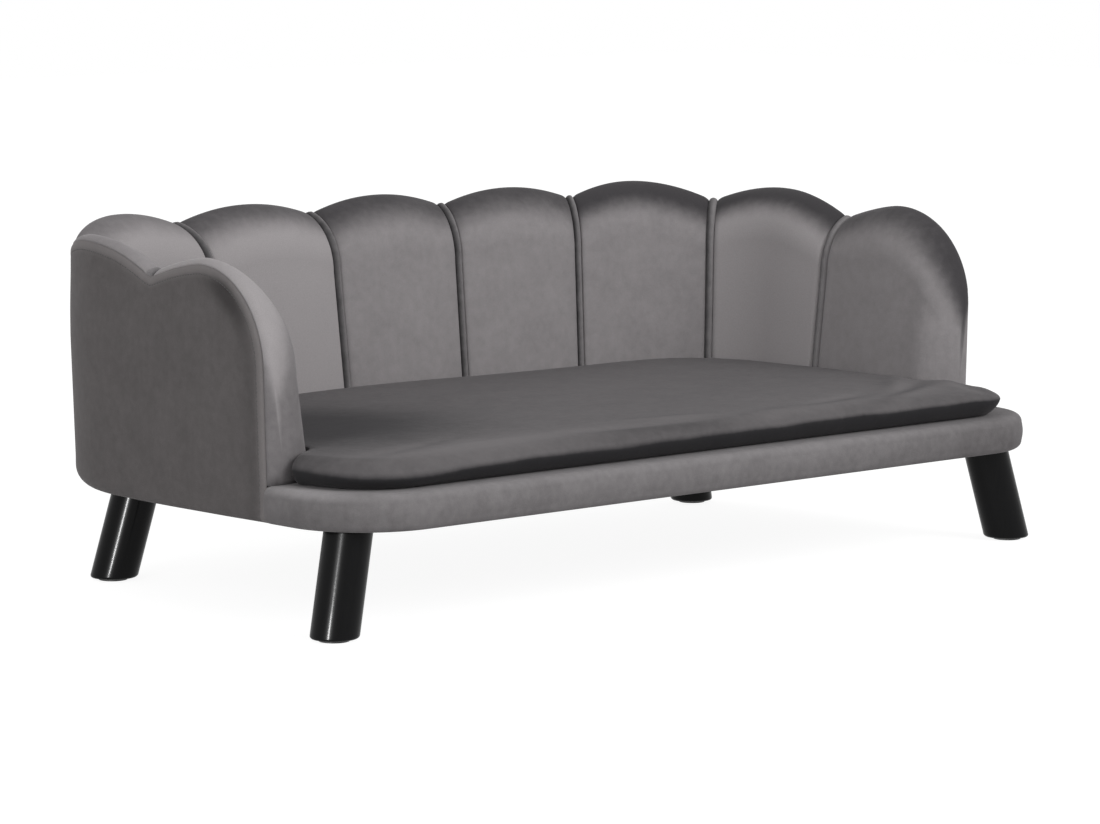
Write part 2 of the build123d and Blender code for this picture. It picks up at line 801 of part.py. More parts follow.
def cushion_form(shrink, lift):
    """The cushion's crowned form, smaller by one amount and with its underside lifted by another."""
    bottom = cushion_bottom + lift
    squeeze = (cushion_height - shrink - lift) / cushion_height
    low = cushion_edge_roll / 2
    band = cushion_band_height
    shoulder = band + cushion_edge_roll
    rings = (
        (0.0, cushion_edge_roll),
        (low, cushion_side_draw / 2),
        ((low + band) / 2, 0.0),
        (band, cushion_side_draw / 2),
        ((band + shoulder) / 2, cushion_edge_roll),
        (shoulder, cushion_top_roll),
    )
    with BuildPart() as form:
        for height, inset in rings:
            with BuildSketch(Plane.XY.offset(bottom + height * squeeze)):
                add(cushion_plan(inset + shrink))
        loft()
        with BuildSketch(Plane.XY.offset(bottom + shoulder * squeeze)):
            add(cushion_plan(cushion_top_roll + shrink))
        extrude(amount=cushion_height)
        add(under_crown(cushion_bottom + cushion_height - shrink), mode=Mode.INTERSECT)
    return form.part


foam_inset = velvet_thickness + cover_ease
with BuildPart() as cushion_foam:
    add(cushion_form(foam_inset, velvet_thickness + fit_gap))
    with BuildSketch(Plane.XY.offset(cushion_bottom)):
        with Locations((0, zip_place)):
            Rectangle(zip_length + 2 * foam_inset, zip_groove_width + 2 * foam_inset)
    extrude(amount=zip_groove_depth + foam_inset, mode=Mode.SUBTRACT)
cushion_foam.part.label = "cushion_foam"
export_step(cushion_foam.part, "parts/cushion_foam.step")

with BuildPart() as cushion_cover:
    add(cushion_form(0.0, 0.0))
    add(cushion_form(velvet_thickness, velvet_thickness), mode=Mode.SUBTRACT)
    with BuildSketch(Plane.XY.offset(cushion_bottom)):
        with Locations((0, zip_place)):
            Rectangle(zip_length + 2 * velvet_thickness, zip_groove_width + 2 * velvet_thickness)
    extrude(amount=zip_groove_depth + velvet_thickness)
    with BuildSketch(Plane.XY.offset(cushion_bottom)):
        with Locations((0, zip_place)):
            Rectangle(zip_length, zip_groove_width)
    extrude(amount=zip_groove_depth, mode=Mode.SUBTRACT)
cushion_cover.part.label = "cushion_cover"
export_step(cushion_cover.part, "parts/cushion_cover.step")

# Zip: its tape lies against the roof of the groove, with the closed row of teeth below it
groove_roof = cushion_bottom + zip_groove_depth
tape_bottom = groove_roof - zip_tape_thickness
neck_bottom = tape_bottom - zip_neck_height
bead_bottom = neck_bottom - zip_bead_height
with BuildPart() as zip_tape:
    with BuildSketch(Plane.XY.offset(tape_bottom)):
        with Locations((0, zip_place)):
            Rectangle(zip_length - 2 * fit_gap, zip_tape_width)
    extrude(amount=zip_tape_thickness)
    with BuildSketch(Plane.XY.offset(neck_bottom)):
        with Locations((0, zip_place)):
            Rectangle(zip_length - 2 * zip_stop_length, zip_neck_width)
    extrude(amount=zip_neck_height)
    with BuildSketch(Plane.XY.offset(bead_bottom)):
        with Locations((0, zip_place)):
            Rectangle(zip_length - 2 * zip_stop_length, zip_bead_width)
    extrude(amount=zip_bead_height)
zip_tape.part.label = "zip_tape"
export_step(zip_tape.part, "parts/zip_tape.step")

slider_x = -zip_length / 2 + zip_stop_length + slider_length
slider_top = neck_bottom + fit_gap + slider_flange
slider_bottom = bead_bottom - fit_gap - slider_plate
with BuildPart() as zip_slider:
    with BuildSketch(Plane.YZ.offset(slider_x - slider_length / 2)):
        with Locations((zip_place, (slider_top + slider_bottom) / 2)):
            Rectangle(slider_width, slider_top - slider_bottom)
        with Locations((zip_place, (neck_bottom + bead_bottom) / 2)):
            Rectangle(
                zip_bead_width + 2 * fit_gap,
                zip_bead_height + 2 * fit_gap,
                mode=Mode.SUBTRACT,
            )
        with Locations((zip_place, slider_top)):
            Rectangle(zip_neck_width + 2 * fit_gap, 2 * slider_flange + fit_gap, mode=Mode.SUBTRACT)
    extrude(amount=slider_length)
    with BuildSketch(Plane.XY.offset(slider_bottom - pull_thickness)):
        with Locations((slider_x + pull_length / 2, zip_place)):
            SlotOverall(pull_length, pull_width)
    extrude(amount=pull_thickness)
zip_slider.part.label = "zip_slider"
export_step(zip_slider.part, "parts/zip_slider.step")
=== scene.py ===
"""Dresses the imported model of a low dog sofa: velvet channels, panels, cushion, legs and zip.

Sizes are in millimetres and are turned into metres when a mesh is made. The U of the wall is
followed by a place, in lengths along its outer face from one arm's front end to the other's, and
a depth, measured inwards from that face.
"""

import json
from math import cos, pi, radians, sin, sqrt

import bmesh
import bpy
import numpy as np
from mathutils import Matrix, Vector
from mathutils.geometry import delaunay_2d_cdt


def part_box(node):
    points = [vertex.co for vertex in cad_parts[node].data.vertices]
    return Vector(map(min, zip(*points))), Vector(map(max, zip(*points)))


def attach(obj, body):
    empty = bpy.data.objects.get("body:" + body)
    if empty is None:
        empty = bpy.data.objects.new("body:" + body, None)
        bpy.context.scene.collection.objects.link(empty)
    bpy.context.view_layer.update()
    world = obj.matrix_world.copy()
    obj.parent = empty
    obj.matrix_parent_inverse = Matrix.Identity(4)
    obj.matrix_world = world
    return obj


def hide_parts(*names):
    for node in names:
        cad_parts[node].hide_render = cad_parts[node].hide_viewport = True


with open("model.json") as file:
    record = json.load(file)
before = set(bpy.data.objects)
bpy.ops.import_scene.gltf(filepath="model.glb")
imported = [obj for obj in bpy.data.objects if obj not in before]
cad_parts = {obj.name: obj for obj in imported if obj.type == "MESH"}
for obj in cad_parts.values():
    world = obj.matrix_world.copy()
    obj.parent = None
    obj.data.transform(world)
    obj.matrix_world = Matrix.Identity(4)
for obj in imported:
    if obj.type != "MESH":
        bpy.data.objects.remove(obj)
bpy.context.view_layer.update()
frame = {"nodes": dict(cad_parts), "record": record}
millimetre = 0.001

# Studio, in metres: a white floor, a large soft lamp in front, a smaller one at the left, and a
# tall narrow one whose reflection is the bright line on the lacquered legs. The camera stands
# where the photograph was taken from.
view_azimuth = radians(42.11)
view_elevation = radians(7.188)
view_distance = 4.54862
view_target = Vector((0.0, 0.0, 0.150))
photo_width = 1100
photo_height = 824
photo_focal_length = 4360.63
photo_middle = (543.88, 417.63)
sensor_width = 36.0

level_reach = cos(view_elevation)
view_plan = (sin(view_azimuth) * level_reach, cos(view_azimuth) * level_reach)
view_direction = Vector((*view_plan, -sin(view_elevation)))
camera = bpy.data.objects.new("camera", bpy.data.cameras.new("camera"))
camera.location = view_target - view_distance * view_direction
camera.rotation_euler = view_direction.to_track_quat("-Z", "Y").to_euler()
camera.data.sensor_width = sensor_width
camera.data.lens = photo_focal_length * sensor_width / photo_width
camera.data.shift_x = (photo_width / 2 - photo_middle[0]) / photo_width
camera.data.shift_y = (photo_middle[1] - photo_height / 2) / photo_width
bpy.context.collection.objects.link(camera)
bpy.context.scene.camera = camera
bpy.context.scene.view_settings.view_transform = "Standard"


def linear(colour):
    """A colour written as sRGB hex digits, as linear red, green, blue and full opacity."""
    channels = np.array([int(colour[i : i + 2], 16) for i in (0, 2, 4)]) / 255
    low = channels / 12.92
    high = ((channels + 0.055) / 1.055) ** 2.4
    return (*np.where(channels <= 0.04045, low, high).tolist(), 1.0)


def add_node(tree, kind, inputs=None, **settings):
    """Adds a node with its settings. An input takes a value or the output that is linked to it."""
    made = tree.nodes.new(kind)
    for name, value in settings.items():
        setattr(made, name, value)
    for name, value in (inputs or {}).items():
        if isinstance(value, bpy.types.NodeSocket):
            tree.links.new(value, made.inputs[name])
        else:
            made.inputs[name].default_value = value
    return made


def new_material(name):
    """An empty node material and its tree."""
    material = bpy.data.materials.new(name)
    material.use_nodes = True
    material.node_tree.nodes.clear()
    return material, material.node_tree


def add_lamp(name, place, target, size, power):
    """A rectangular lamp at a place, aimed at a target, of a size and a power in watts."""
    lamp = bpy.data.objects.new(name, bpy.data.lights.new(name, "AREA"))
    lamp.data.shape = "RECTANGLE"
    lamp.data.size, lamp.data.size_y = size
    lamp.data.energy = power
    lamp.location = place
    lamp.rotation_euler = (Vector(target) - Vector(place)).to_track_quat("-Z", "Y").to_euler()
    bpy.context.collection.objects.link(lamp)
    return lamp


def backdrop_share(tree):
    """1 for the rays that show the white backdrop itself: from the camera, a mirror or glass."""
    path = add_node(tree, "ShaderNodeLightPath")
    share = path.outputs["Is Camera Ray"]
    for kind in ("Is Glossy Ray", "Is Transmission Ray"):
        inputs = {0: share, 1: path.outputs[kind]}
        share = add_node(tree, "ShaderNodeMath", inputs, operation="MAXIMUM").outputs[0]
    return share


add_lamp("front_lamp", (0.9, -3.6, 2.3), (0.0, 0.0, 0.2), (2.4, 1.6), 88.0)
add_lamp("left_lamp", (-3.5, -1.3, 1.7), (0.0, 0.0, 0.2), (1.6, 1.6), 27.0)
strip_lamp = add_lamp("strip_lamp", (-4.6, -1.9, 0.75), (-0.4, -0.2, 0.06), (0.34, 1.5), 400.0)
strip_lamp.visible_diffuse = False

ambient_strength = 0.60
world = bpy.data.worlds.new("studio")
bpy.context.scene.world = world
world.use_nodes = True
tree = world.node_tree
tree.nodes.clear()
soft = add_node(tree, "ShaderNodeBackground", {"Color": linear("FFFFFF"), "Strength": ambient_strength})
white = add_node(tree, "ShaderNodeBackground", {"Color": linear("FFFFFF"), "Strength": 1.0})
either = {0: backdrop_share(tree), 1: soft.outputs[0], 2: white.outputs[0]}
mixed = add_node(tree, "ShaderNodeMixShader", either)
add_node(tree, "ShaderNodeOutputWorld", {"Surface": mixed.outputs[0]})

floor_reach = 9.0
floor_glow = 0.92
material, tree = new_material("white_paper")
paper = add_node(tree, "ShaderNodeBsdfDiffuse", {"Color": linear("E4E4E4")})
shade = add_node(tree, "ShaderNodeBsdfDiffuse", {"Color": linear("808080")})
glow = add_node(tree, "ShaderNodeEmission", {"Color": linear("FFFFFF"), "Strength": floor_glow})
shown = add_node(tree, "ShaderNodeAddShader", {0: shade.outputs[0], 1: glow.outputs[0]})
either = {0: backdrop_share(tree), 1: paper.outputs[0], 2: shown.outputs[0]}
mixed = add_node(tree, "ShaderNodeMixShader", either)
add_node(tree, "ShaderNodeOutputMaterial", {"Surface": mixed.outputs[0]})
mesh = bpy.data.meshes.new("floor")
floor_sides = (-floor_reach, floor_reach)
floor_corners = [(x, y, 0.0) for y in floor_sides for x in floor_sides]
mesh.from_pydata(floor_corners, [], [(0, 1, 3, 2)])
mesh.materials.append(material)
floor = bpy.data.objects.new("floor", mesh)
bpy.context.collection.objects.link(floor)

# Velvet: a short, dense pile of polyester. It looks light where the pile lies towards the eye and dark
# where it is brushed away, so each piece says how its pile lies, and the same value also carries painted
# light and painted shade: darker rolls, undersides and shadowed spots, lighter faces, edges and painted
# highlights. A soft sheen shows on every curve, and the grain is drawn coarser than real pile, so that it
# shows.
pile_blotch = 34.0
pile_patch = 9.0
pile_grain = 0.9
streak_width = 5.0
streak_length = 90.0
multiply_add = {"operation": "MULTIPLY_ADD"}


def add_surface(tree, colour, height, strength, distance, sockets):
    """Ends a material with its surface, which takes a colour, a relief from a height that stands up
    to a distance in millimetres, and values for its own sockets."""
    relief = {"Height": height, "Strength": strength, "Distance": distance * millimetre}
    bump = add_node(tree, "ShaderNodeBump", relief)
    inputs = {"Base Color": colour, "Normal": bump.outputs[0], **sockets}
    surface = add_node(tree, "ShaderNodeBsdfPrincipled", inputs)
    add_node(tree, "ShaderNodeOutputMaterial", {"Surface": surface.outputs[0]})


def velvet(name, dark, light, sheen, mottle):
    """Velvet between two colours, a dark one for pile brushed away and for painted shade, a light one for
    pile brushed towards the eye and for painted light, and how far the pile's own disorder mixes them."""
    material, tree = new_material(name)
    place = add_node(tree, "ShaderNodeTexCoord").outputs["Object"]
    nap_and_painted_light = add_node(tree, "ShaderNodeAttribute", attribute_name="nap_and_painted_light").outputs["Fac"]
    stretch = (1.0, 1.0, streak_width / streak_length)
    tall = add_node(tree, "ShaderNodeMapping", {"Vector": place, "Scale": stretch}).outputs[0]
    noises = []
    layers = ((pile_blotch, 3.0, place), (pile_patch, 4.0, place), (pile_grain, 2.0, place))
    for size, detail, source in (*layers, (streak_width, 3.0, tall)):
        inputs = {"Vector": source, "Scale": 1 / (size * millimetre), "Detail": detail}
        noises.append(add_node(tree, "ShaderNodeTexNoise", inputs).outputs["Fac"])
    blotch, patch, grain, streak = noises

    cloud = add_node(tree, "ShaderNodeMath", {0: blotch, 1: 0.7, 2: -0.85}, **multiply_add).outputs[0]
    cloud = add_node(tree, "ShaderNodeMath", {0: patch, 1: 1.0, 2: cloud}, **multiply_add).outputs[0]
    border = add_node(tree, "ShaderNodeMath", {0: cloud, 1: mottle, 2: nap_and_painted_light}, **multiply_add).outputs[0]
    edge = {"Value": border, "From Min": -1.0, "From Max": 1.0}
    lie_and_light = add_node(tree, "ShaderNodeMapRange", edge, interpolation_type="SMOOTHSTEP").outputs[0]
    drift = add_node(tree, "ShaderNodeMath", {0: blotch, 1: 0.12, 2: -0.12}, **multiply_add).outputs[0]
    drift = add_node(tree, "ShaderNodeMath", {0: streak, 1: 0.12, 2: drift}, **multiply_add).outputs[0]
    lie_and_light = add_node(tree, "ShaderNodeMath", {0: drift, 1: mottle, 2: lie_and_light}, **multiply_add).outputs[0]
    # The share of the light colour: the pile's lie together with painted light and painted shade.
    shades = {0: lie_and_light, 6: linear(dark), 7: linear(light)}
    colour = add_node(tree, "ShaderNodeMix", shades, data_type="RGBA").outputs[2]
    speckle = add_node(tree, "ShaderNodeMapRange", {"Value": grain, "To Min": 0.86, "To Max": 1.14})
    inputs = {0: colour, "Scale": speckle.outputs[0]}
    tinted = add_node(tree, "ShaderNodeVectorMath", inputs, operation="SCALE").outputs[0]
    relief = add_node(tree, "ShaderNodeMath", {0: patch, 1: 2.0, 2: grain}, **multiply_add).outputs[0]
    sockets = {
        "Roughness": 0.92,
        "Specular IOR Level": 0.12,
        "Sheen Weight": sheen,
        "Sheen Roughness": 0.38,
        "Sheen Tint": linear("D9D6D8"),
    }
    add_surface(tree, tinted, relief, 0.3, 0.4, sockets)
    return material


# The wall's U, which every padded piece follows: straight arms, tight rear corners and a back
# that bows slightly. Its top edge is scalloped: parabolas that meet in rounded valleys at the
# seams, with a quarter round at each arm's front, which its stuffing swells forwards.
panel_low, panel_high = (np.array(corner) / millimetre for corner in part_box("outer_panel"))
platform_low, platform_high = (np.array(corner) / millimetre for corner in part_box("platform_cover"))
half_length = panel_high[0]
rear_edge = panel_high[1]
front_edge = platform_low[1]
platform_bottom = platform_low[2]
platform_top = platform_high[2]
seam_allowance = 9.0
arm_swell = 5.0
arm_front = panel_low[1] - seam_allowance - arm_swell
wall_corner_radius = 170.0
wall_corner_turn = radians(86.0)
front_channel_width = 181.0
corner_seam_turn = radians(40.0)
wall_depth_at_seat = 63.5
crest_heights = np.array([349.5, 359.8, 366.5, 367.2, 368.2, 367.2, 366.5, 359.8, 349.5])
seam_heights = np.array([349.5, 331.4, 342.8, 350.8, 351.4, 351.4, 350.8, 342.8, 331.4, 349.5])
channel_count = len(crest_heights)
arm_front_radius = 101.0
arm_crest_power = 1.5
valley_half_width = 9.0

straight_reach = half_length - wall_corner_radius * (1 - cos(wall_corner_turn))
back_radius = straight_reach / cos(wall_corner_turn)
back_centre = rear_edge - back_radius
corner_start = back_centre + (back_radius - wall_corner_radius) * sin(wall_corner_turn)
arm_length = corner_start - arm_front


def line_lengths(inset):
    """Lengths along an inset line: of a corner, and from one end to the other."""
    corner = (wall_corner_radius - inset) * wall_corner_turn
    back = (back_radius - inset) * (pi - 2 * wall_corner_turn)
    return corner, 2 * arm_length + 2 * corner + back


def seam_places(inset):
    """Where each channel starts along an inset line, and where the last one ends."""
    total = line_lengths(inset)[1]
    corner_seam = arm_length + (wall_corner_radius - inset) * corner_seam_turn
    middle = np.linspace(corner_seam, total - corner_seam, channel_count - 3)
    return np.array([0.0, front_channel_width, *middle, total - front_channel_width, total])


def wall_point(place, inset):
    """Plan points at lengths along an inset line: an arm, a corner's arc, then the back's arc."""
    corner, total = line_lengths(inset)
    far_side = place > total / 2
    run = np.where(far_side, total - place, place) - arm_length
    turn = np.clip(run, 0, corner) / (wall_corner_radius - inset)
    turn = turn + np.maximum(run - corner, 0) / (back_radius - inset)
    on_back = run > corner
    radius = np.where(on_back, back_radius, wall_corner_radius) - inset
    centre_x = np.where(on_back, 0, wall_corner_radius - half_length)
    centre_y = np.where(on_back, back_centre, corner_start)
    x = centre_x - radius * np.cos(turn)
    y = centre_y + radius * np.sin(turn) + np.minimum(run, 0)
    return np.where(far_side, -x, x), y


outer_places = seam_places(0.0)
inner_places = seam_places(wall_depth_at_seat)
total_length = outer_places[-1]


def wall_position(place, depth):
    """Plan points at places along the outer face and depths inwards, on the slanting lines that
    join each place to the one at the same share of its channel on the inner face."""
    channel_place = np.interp(place, outer_places, np.arange(channel_count + 1.0))
    inner_place = np.interp(channel_place, np.arange(channel_count + 1.0), inner_places)
    outer_x, outer_y = wall_point(place, 0.0)
    inner_x, inner_y = wall_point(inner_place, wall_depth_at_seat)
    share = depth / wall_depth_at_seat
    return outer_x + (inner_x - outer_x) * share, outer_y + (inner_y - outer_y) * share


def crest(place, sink):
    """Height of the scalloped edge, sunk by an amount square to it: parabolas over the seams, whose
    meeting is rounded, and at an arm's front a quarter circle that runs into a falling curve."""
    end = np.minimum(place, total_length - place)
    channel = np.clip(np.searchsorted(outer_places, place, side="right") - 1, 0, channel_count - 1)
    before = place - outer_places[channel]
    after = outer_places[channel + 1] - place
    gap = np.minimum(before, after)
    rounded = (gap**2 + valley_half_width**2) / (2 * valley_half_width)
    nearest = np.where(before < after, channel, channel + 1)
    in_valley = (gap < valley_half_width) & (nearest > 0) & (nearest < channel_count)
    eased = np.where(in_valley, rounded - gap, 0)

    share = (before + eased * np.where(before < after, 1, -1)) / (before + after)
    left, right = seam_heights[channel], seam_heights[channel + 1]
    rise = crest_heights[channel] - (left + right) / 2
    scallop = left + (right - left) * share + rise * 4 * share * (1 - share) - sink
    front = crest_heights[0]
    reach = np.maximum((arm_front_radius - sink) ** 2 - (arm_front_radius - end) ** 2, 0)
    round_end = front - arm_front_radius + np.sqrt(reach)
    fall = (end - eased - arm_front_radius) / (front_channel_width - arm_front_radius)
    falling = front - (front - seam_heights[1]) * np.clip(fall, 0, 1) ** arm_crest_power - sink
    arm_crest = np.where(end < arm_front_radius, round_end, falling)
    return np.where(end < front_channel_width, arm_crest, scallop)


# Channels: nine long pads of grey velvet over foam, glued over the wall's boards. Each swells
# between its seams, rolls over the scalloped top and is sewn to the outer panel just below the
# edge. The two at the fronts of the arms also round off forwards.
roll_depth = 47.0
roll_height = 60.0
channel_crown = 6.0
crown_power = 0.7
strip_width = 10.0
side_dip = 3.6
side_dip_radius = 7.0
arm_end_roll = 30.0
arm_end_depth = 18.0
crest_edge_radius = 11.0
lean_start = 206.0
lean_slope = 0.030
lean_least = -2.2
lean_most = 1.4
seam_drop = 6.0
seam_dip = 1.5
seam_dip_width = 1.6
rib_near = 6.6
core_drop = 32.0
core_depth = 27.2
channel_bottom = platform_top + 0.3
foot_radius = 5.0
column_step = 5.0
face_rows = 18
roll_rows = 22
core_rows = 10
# Rows and columns of points lie closer together where the velvet bends.
flange_drops = (0.35, 0.9, 1.8, 3.0, 4.2, 4.8, 5.3, seam_drop, seam_allowance)
side_places = np.array([0.0, 0.25, 0.75, 1.5, 2.5, 4.0, 6.0, 8.5, 11.5])
front_places = np.array([0.01, 0.08, 0.25, 0.6, 1.2, 2.0, 3.0, 4.2, 5.2, 6.0, 7.4, seam_allowance])
core_places = seam_allowance + np.array([0.0, 1.2, 2.8, 4.8, 7.4, 10.5, 14.0])
channel_velvet = velvet("grey_velvet_channels", "3C3A3C", "999596", 0.20, 0.32)
# How the pile lies at each channel's crest and on its face, from the left arm round to the right,
# together with painted shade on each crest's roll and painted light on each face, set channel by channel.
crest_lie_and_shade = (1.05, 0.31, -0.16, -0.64, -0.85, -0.80, -1.4, -1.3, -0.80)
face_lie_and_light = (0.20, 0.33, 1.30, 0.97, 0.33, 0.32, 0.28, 1.05, 0.43)
# Painted shade on the two arm channels near their fronts.
arm_front_shades = {0: -0.3, channel_count - 1: -0.25}
arm_front_shade_reach = 70.0
# How far below the edge the crest's painted shade starts to give way to the face's painted light, and
# over what depth.
roll_shade_start = -4.0
roll_shade_width = 44.0


def smooth_step(value):
    """0 below 0, 1 above 1, and a smooth rise between."""
    value = np.clip(value, 0, 1)
    return value * value * (3 - 2 * value)


def quarter_dip(distance, radius):
    """How far a rounded edge lies below its face, at a distance from that edge."""
    share = 1 - np.clip(distance / radius, 0, 1)
    return radius * (1 - np.sqrt(1 - share * share))


def outward_lean(height):
    """How far the padded outer face stands out: its stuffing leans it outwards to the top."""
    return np.clip((height - lean_start) * lean_slope, lean_least, lean_most)


def grid_faces(rows, columns, closed_columns=False):
    """Quads between neighbouring rows and columns, whose last column may meet the first."""
    count = columns if closed_columns else columns - 1
    i, j = np.meshgrid(np.arange(rows - 1), np.arange(count), indexing="ij")
    k = (j + 1) % columns
    quads = np.stack([i * columns + j, (i + 1) * columns + j, (i + 1) * columns + k, i * columns + k], -1)
    return quads.reshape(-1, 4).tolist()


def tube_faces(rings, sides):
    """Quads between neighbouring rings of points, and a face that closes the first and the last."""
    last = (rings - 1) * sides
    caps = [list(range(sides)), list(range(last, last + sides))]
    return grid_faces(rings, sides, closed_columns=True) + caps


def add_piece(name, points, faces, material, body, nap_and_painted_light=None):
    """An object of points in millimetres and faces, with an attribute that says how its pile lies and
    where light and shade are painted on it.
    Points that lie in the same place are merged, and the faces are turned outwards."""
    mesh = bpy.data.meshes.new(name)
    points = np.reshape(points, (-1, 3)) * millimetre
    mesh.from_pydata(points.tolist(), [], faces)
    if nap_and_painted_light is not None:
        values = np.ascontiguousarray(np.ravel(nap_and_painted_light), np.float32)
        mesh.attributes.new("nap_and_painted_light", "FLOAT", "POINT").data.foreach_set("value", values)
    weld_distance = 2e-6
    edit = bmesh.new()
    edit.from_mesh(mesh)
    bmesh.ops.remove_doubles(edit, verts=edit.verts, dist=weld_distance)
    bmesh.ops.dissolve_degenerate(edit, edges=edit.edges, dist=weld_distance)
    loose = [point for point in edit.verts if not point.link_faces]
    bmesh.ops.delete(edit, geom=loose, context="VERTS")
    bmesh.ops.recalc_face_normals(edit, faces=edit.faces)
    edit.to_mesh(mesh)
    edit.free()
    mesh.polygons.foreach_set("use_smooth", np.ones(len(mesh.polygons), bool))
    mesh.materials.append(material)
    piece = bpy.data.objects.new(name, mesh)
    bpy.context.collection.objects.link(piece)
    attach(piece, body)
    return piece


def between(start, stop):
    """Places from one to another, a column's step apart."""
    return np.linspace(start, stop, int(round((stop - start) / column_step)) + 1)


def outer_dip(reach):
    """How far a pad's outer side lies in at a distance from the wall's edge: round, then sewn in."""
    in_seam = smooth_step((reach - seam_drop) / seam_dip_width + 1)
    return quarter_dip(reach, crest_edge_radius) + seam_dip * in_seam


def pad_outline(place, crown, sink, closes_front):
    """Depths and heights of a pad's outline at each place, as a closed loop that goes up the inner
    face, over the roll as a quarter ellipse, round the outer edge to the seam, and down the back,
    which leaves room for the boards, or at an arm's very front closes the face of the arm."""
    place, crown, sink = (part[:, None] for part in np.broadcast_arrays(place, crown, sink))
    end = np.minimum(place, total_length - place)
    top = crest(place, 0.0) - sink
    full = np.sqrt(1 - (1 - np.minimum(end, arm_end_roll) / arm_end_roll) ** 2)
    low = arm_end_depth + (wall_depth_at_seat + crown - sink - arm_end_depth) * full
    high = arm_end_depth + (roll_depth + crown - sink - arm_end_depth) * full
    rise = np.minimum(roll_height, (top - channel_bottom) / 2)
    face = top - rise - channel_bottom

    up = np.linspace(0, 1, face_rows)
    face_depth = low + (high - low) * up - full * quarter_dip(up * face, foot_radius)
    face_level = channel_bottom + face * up

    over = np.linspace(0, 1, roll_rows)[1:]
    last_turn = np.arccos(crest_edge_radius / high)
    roll_level = top - rise + rise * np.sin(last_turn * over) / np.sin(last_turn)
    roll = high * np.cos(last_turn * over) - outward_lean(roll_level) * smooth_step(over)

    reach = np.minimum(flange_drops, end)
    flange_level = crest(place, reach) - sink
    flange = outer_dip(reach) - outward_lean(flange_level)

    shoulder = flange_level[:, -1:]
    if closes_front:
        down = np.linspace(0, 1, core_rows + 1)[1:]
        back_level = shoulder + (channel_bottom - shoulder) * down
        back = outer_dip(end) - outward_lean(back_level)
    else:
        core_top = crest(place, 0.0) - core_drop
        down = np.linspace(0, 1, core_rows - 2)
        back_level = np.hstack([shoulder, core_top, core_top + (channel_bottom - core_top) * down])
        back = np.append([rib_near, rib_near], np.full_like(down, core_depth))
        back = np.broadcast_to(back, back_level.shape)
    depth = np.hstack([face_depth, roll, flange, back])
    return depth, np.hstack([face_level, roll_level, flange_level, back_level])


def add_pad(name, channel):
    """One pad, as a grid of outlines at places across its width, closed at both sides. The pads at
    the arms' fronts start with outlines that close the face of the arm."""
    start, stop = outer_places[channel], outer_places[channel + 1]
    at_front = channel in (0, channel_count - 1)
    if at_front:
        right = front_channel_width - strip_width / 2 - side_places[::-1]
        rest = np.concatenate([core_places[:-1], between(core_places[-1], right[0]), right[1:]])
        groups = [(front_places, True), (rest, False)]
        if channel:
            groups = [(total_length - place[::-1], closes_front) for place, closes_front in groups[::-1]]
    else:
        left = start + strip_width / 2 + side_places
        right = stop - strip_width / 2 - side_places[::-1]
        groups = [(np.concatenate([left[:-1], between(left[-1], right[0]), right[1:]]), False)]
    loops = []
    for place, closes_front in groups:
        share = (place - start) / (stop - start)
        side = np.minimum(place - start, stop - place) - strip_width / 2
        if at_front:
            end = np.minimum(place, total_length - place)
            share = (1 + end / front_channel_width) / 2
            side = front_channel_width - end - strip_width / 2
        crown = channel_crown * np.sin(pi * np.clip(share, 0, 1)) ** crown_power
        sink = side_dip * quarter_dip(side, side_dip_radius) / side_dip_radius
        depth, height = pad_outline(place, crown, sink, closes_front)
        loops.append((np.broadcast_to(place[:, None], depth.shape), depth, height))
    place, depth, height = (np.vstack(part) for part in zip(*loops))
    x, y = wall_position(place, depth)
    below = crest(place, 0.0) - height
    # Painted shade on the roll gives way to painted light down the face, and the arms' fronts get painted
    # shade.
    crest_lie_shade, face_lie_light = crest_lie_and_shade[channel], face_lie_and_light[channel]
    nap_and_painted_light = crest_lie_shade + (face_lie_light - crest_lie_shade) * smooth_step((below - roll_shade_start) / roll_shade_width)
    end = np.minimum(place, total_length - place)
    nap_and_painted_light = nap_and_painted_light + arm_front_shades.get(channel, 0.0) * (1 - smooth_step(end / arm_front_shade_reach))
    points, faces = np.stack([x, y, height], -1), tube_faces(*depth.shape)
    return add_piece(name, points, faces, channel_velvet, "sofa", nap_and_painted_light)


pad_names = (
    "arm_pad_front_left",
    "arm_pad_rear_left",
    "corner_pad_left",
    "back_pad_left",
    "back_pad_middle",
    "back_pad_right",
    "corner_pad_right",
    "arm_pad_rear_right",
    "arm_pad_front_right",
)
for channel, name in enumerate(pad_names):
    pad = add_pad(name, channel)
    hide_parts(name.replace("_pad", "_channel"))

# Strips: eight rounded bands of velvet over cord, sewn in between neighbouring channels. Each
# follows the roll over the top, where it shows as a small bump in the valley.
strip_half = 5.15
strip_swell = 1.7
strip_sink = 3.4
strip_places = np.sin(np.linspace(-pi / 2, pi / 2, 15))
# The strips get darker colours than the channels: painted shade in the valleys.
strip_velvet = velvet("grey_velvet_strips", "353435", "858283", 0.26, 0.6)
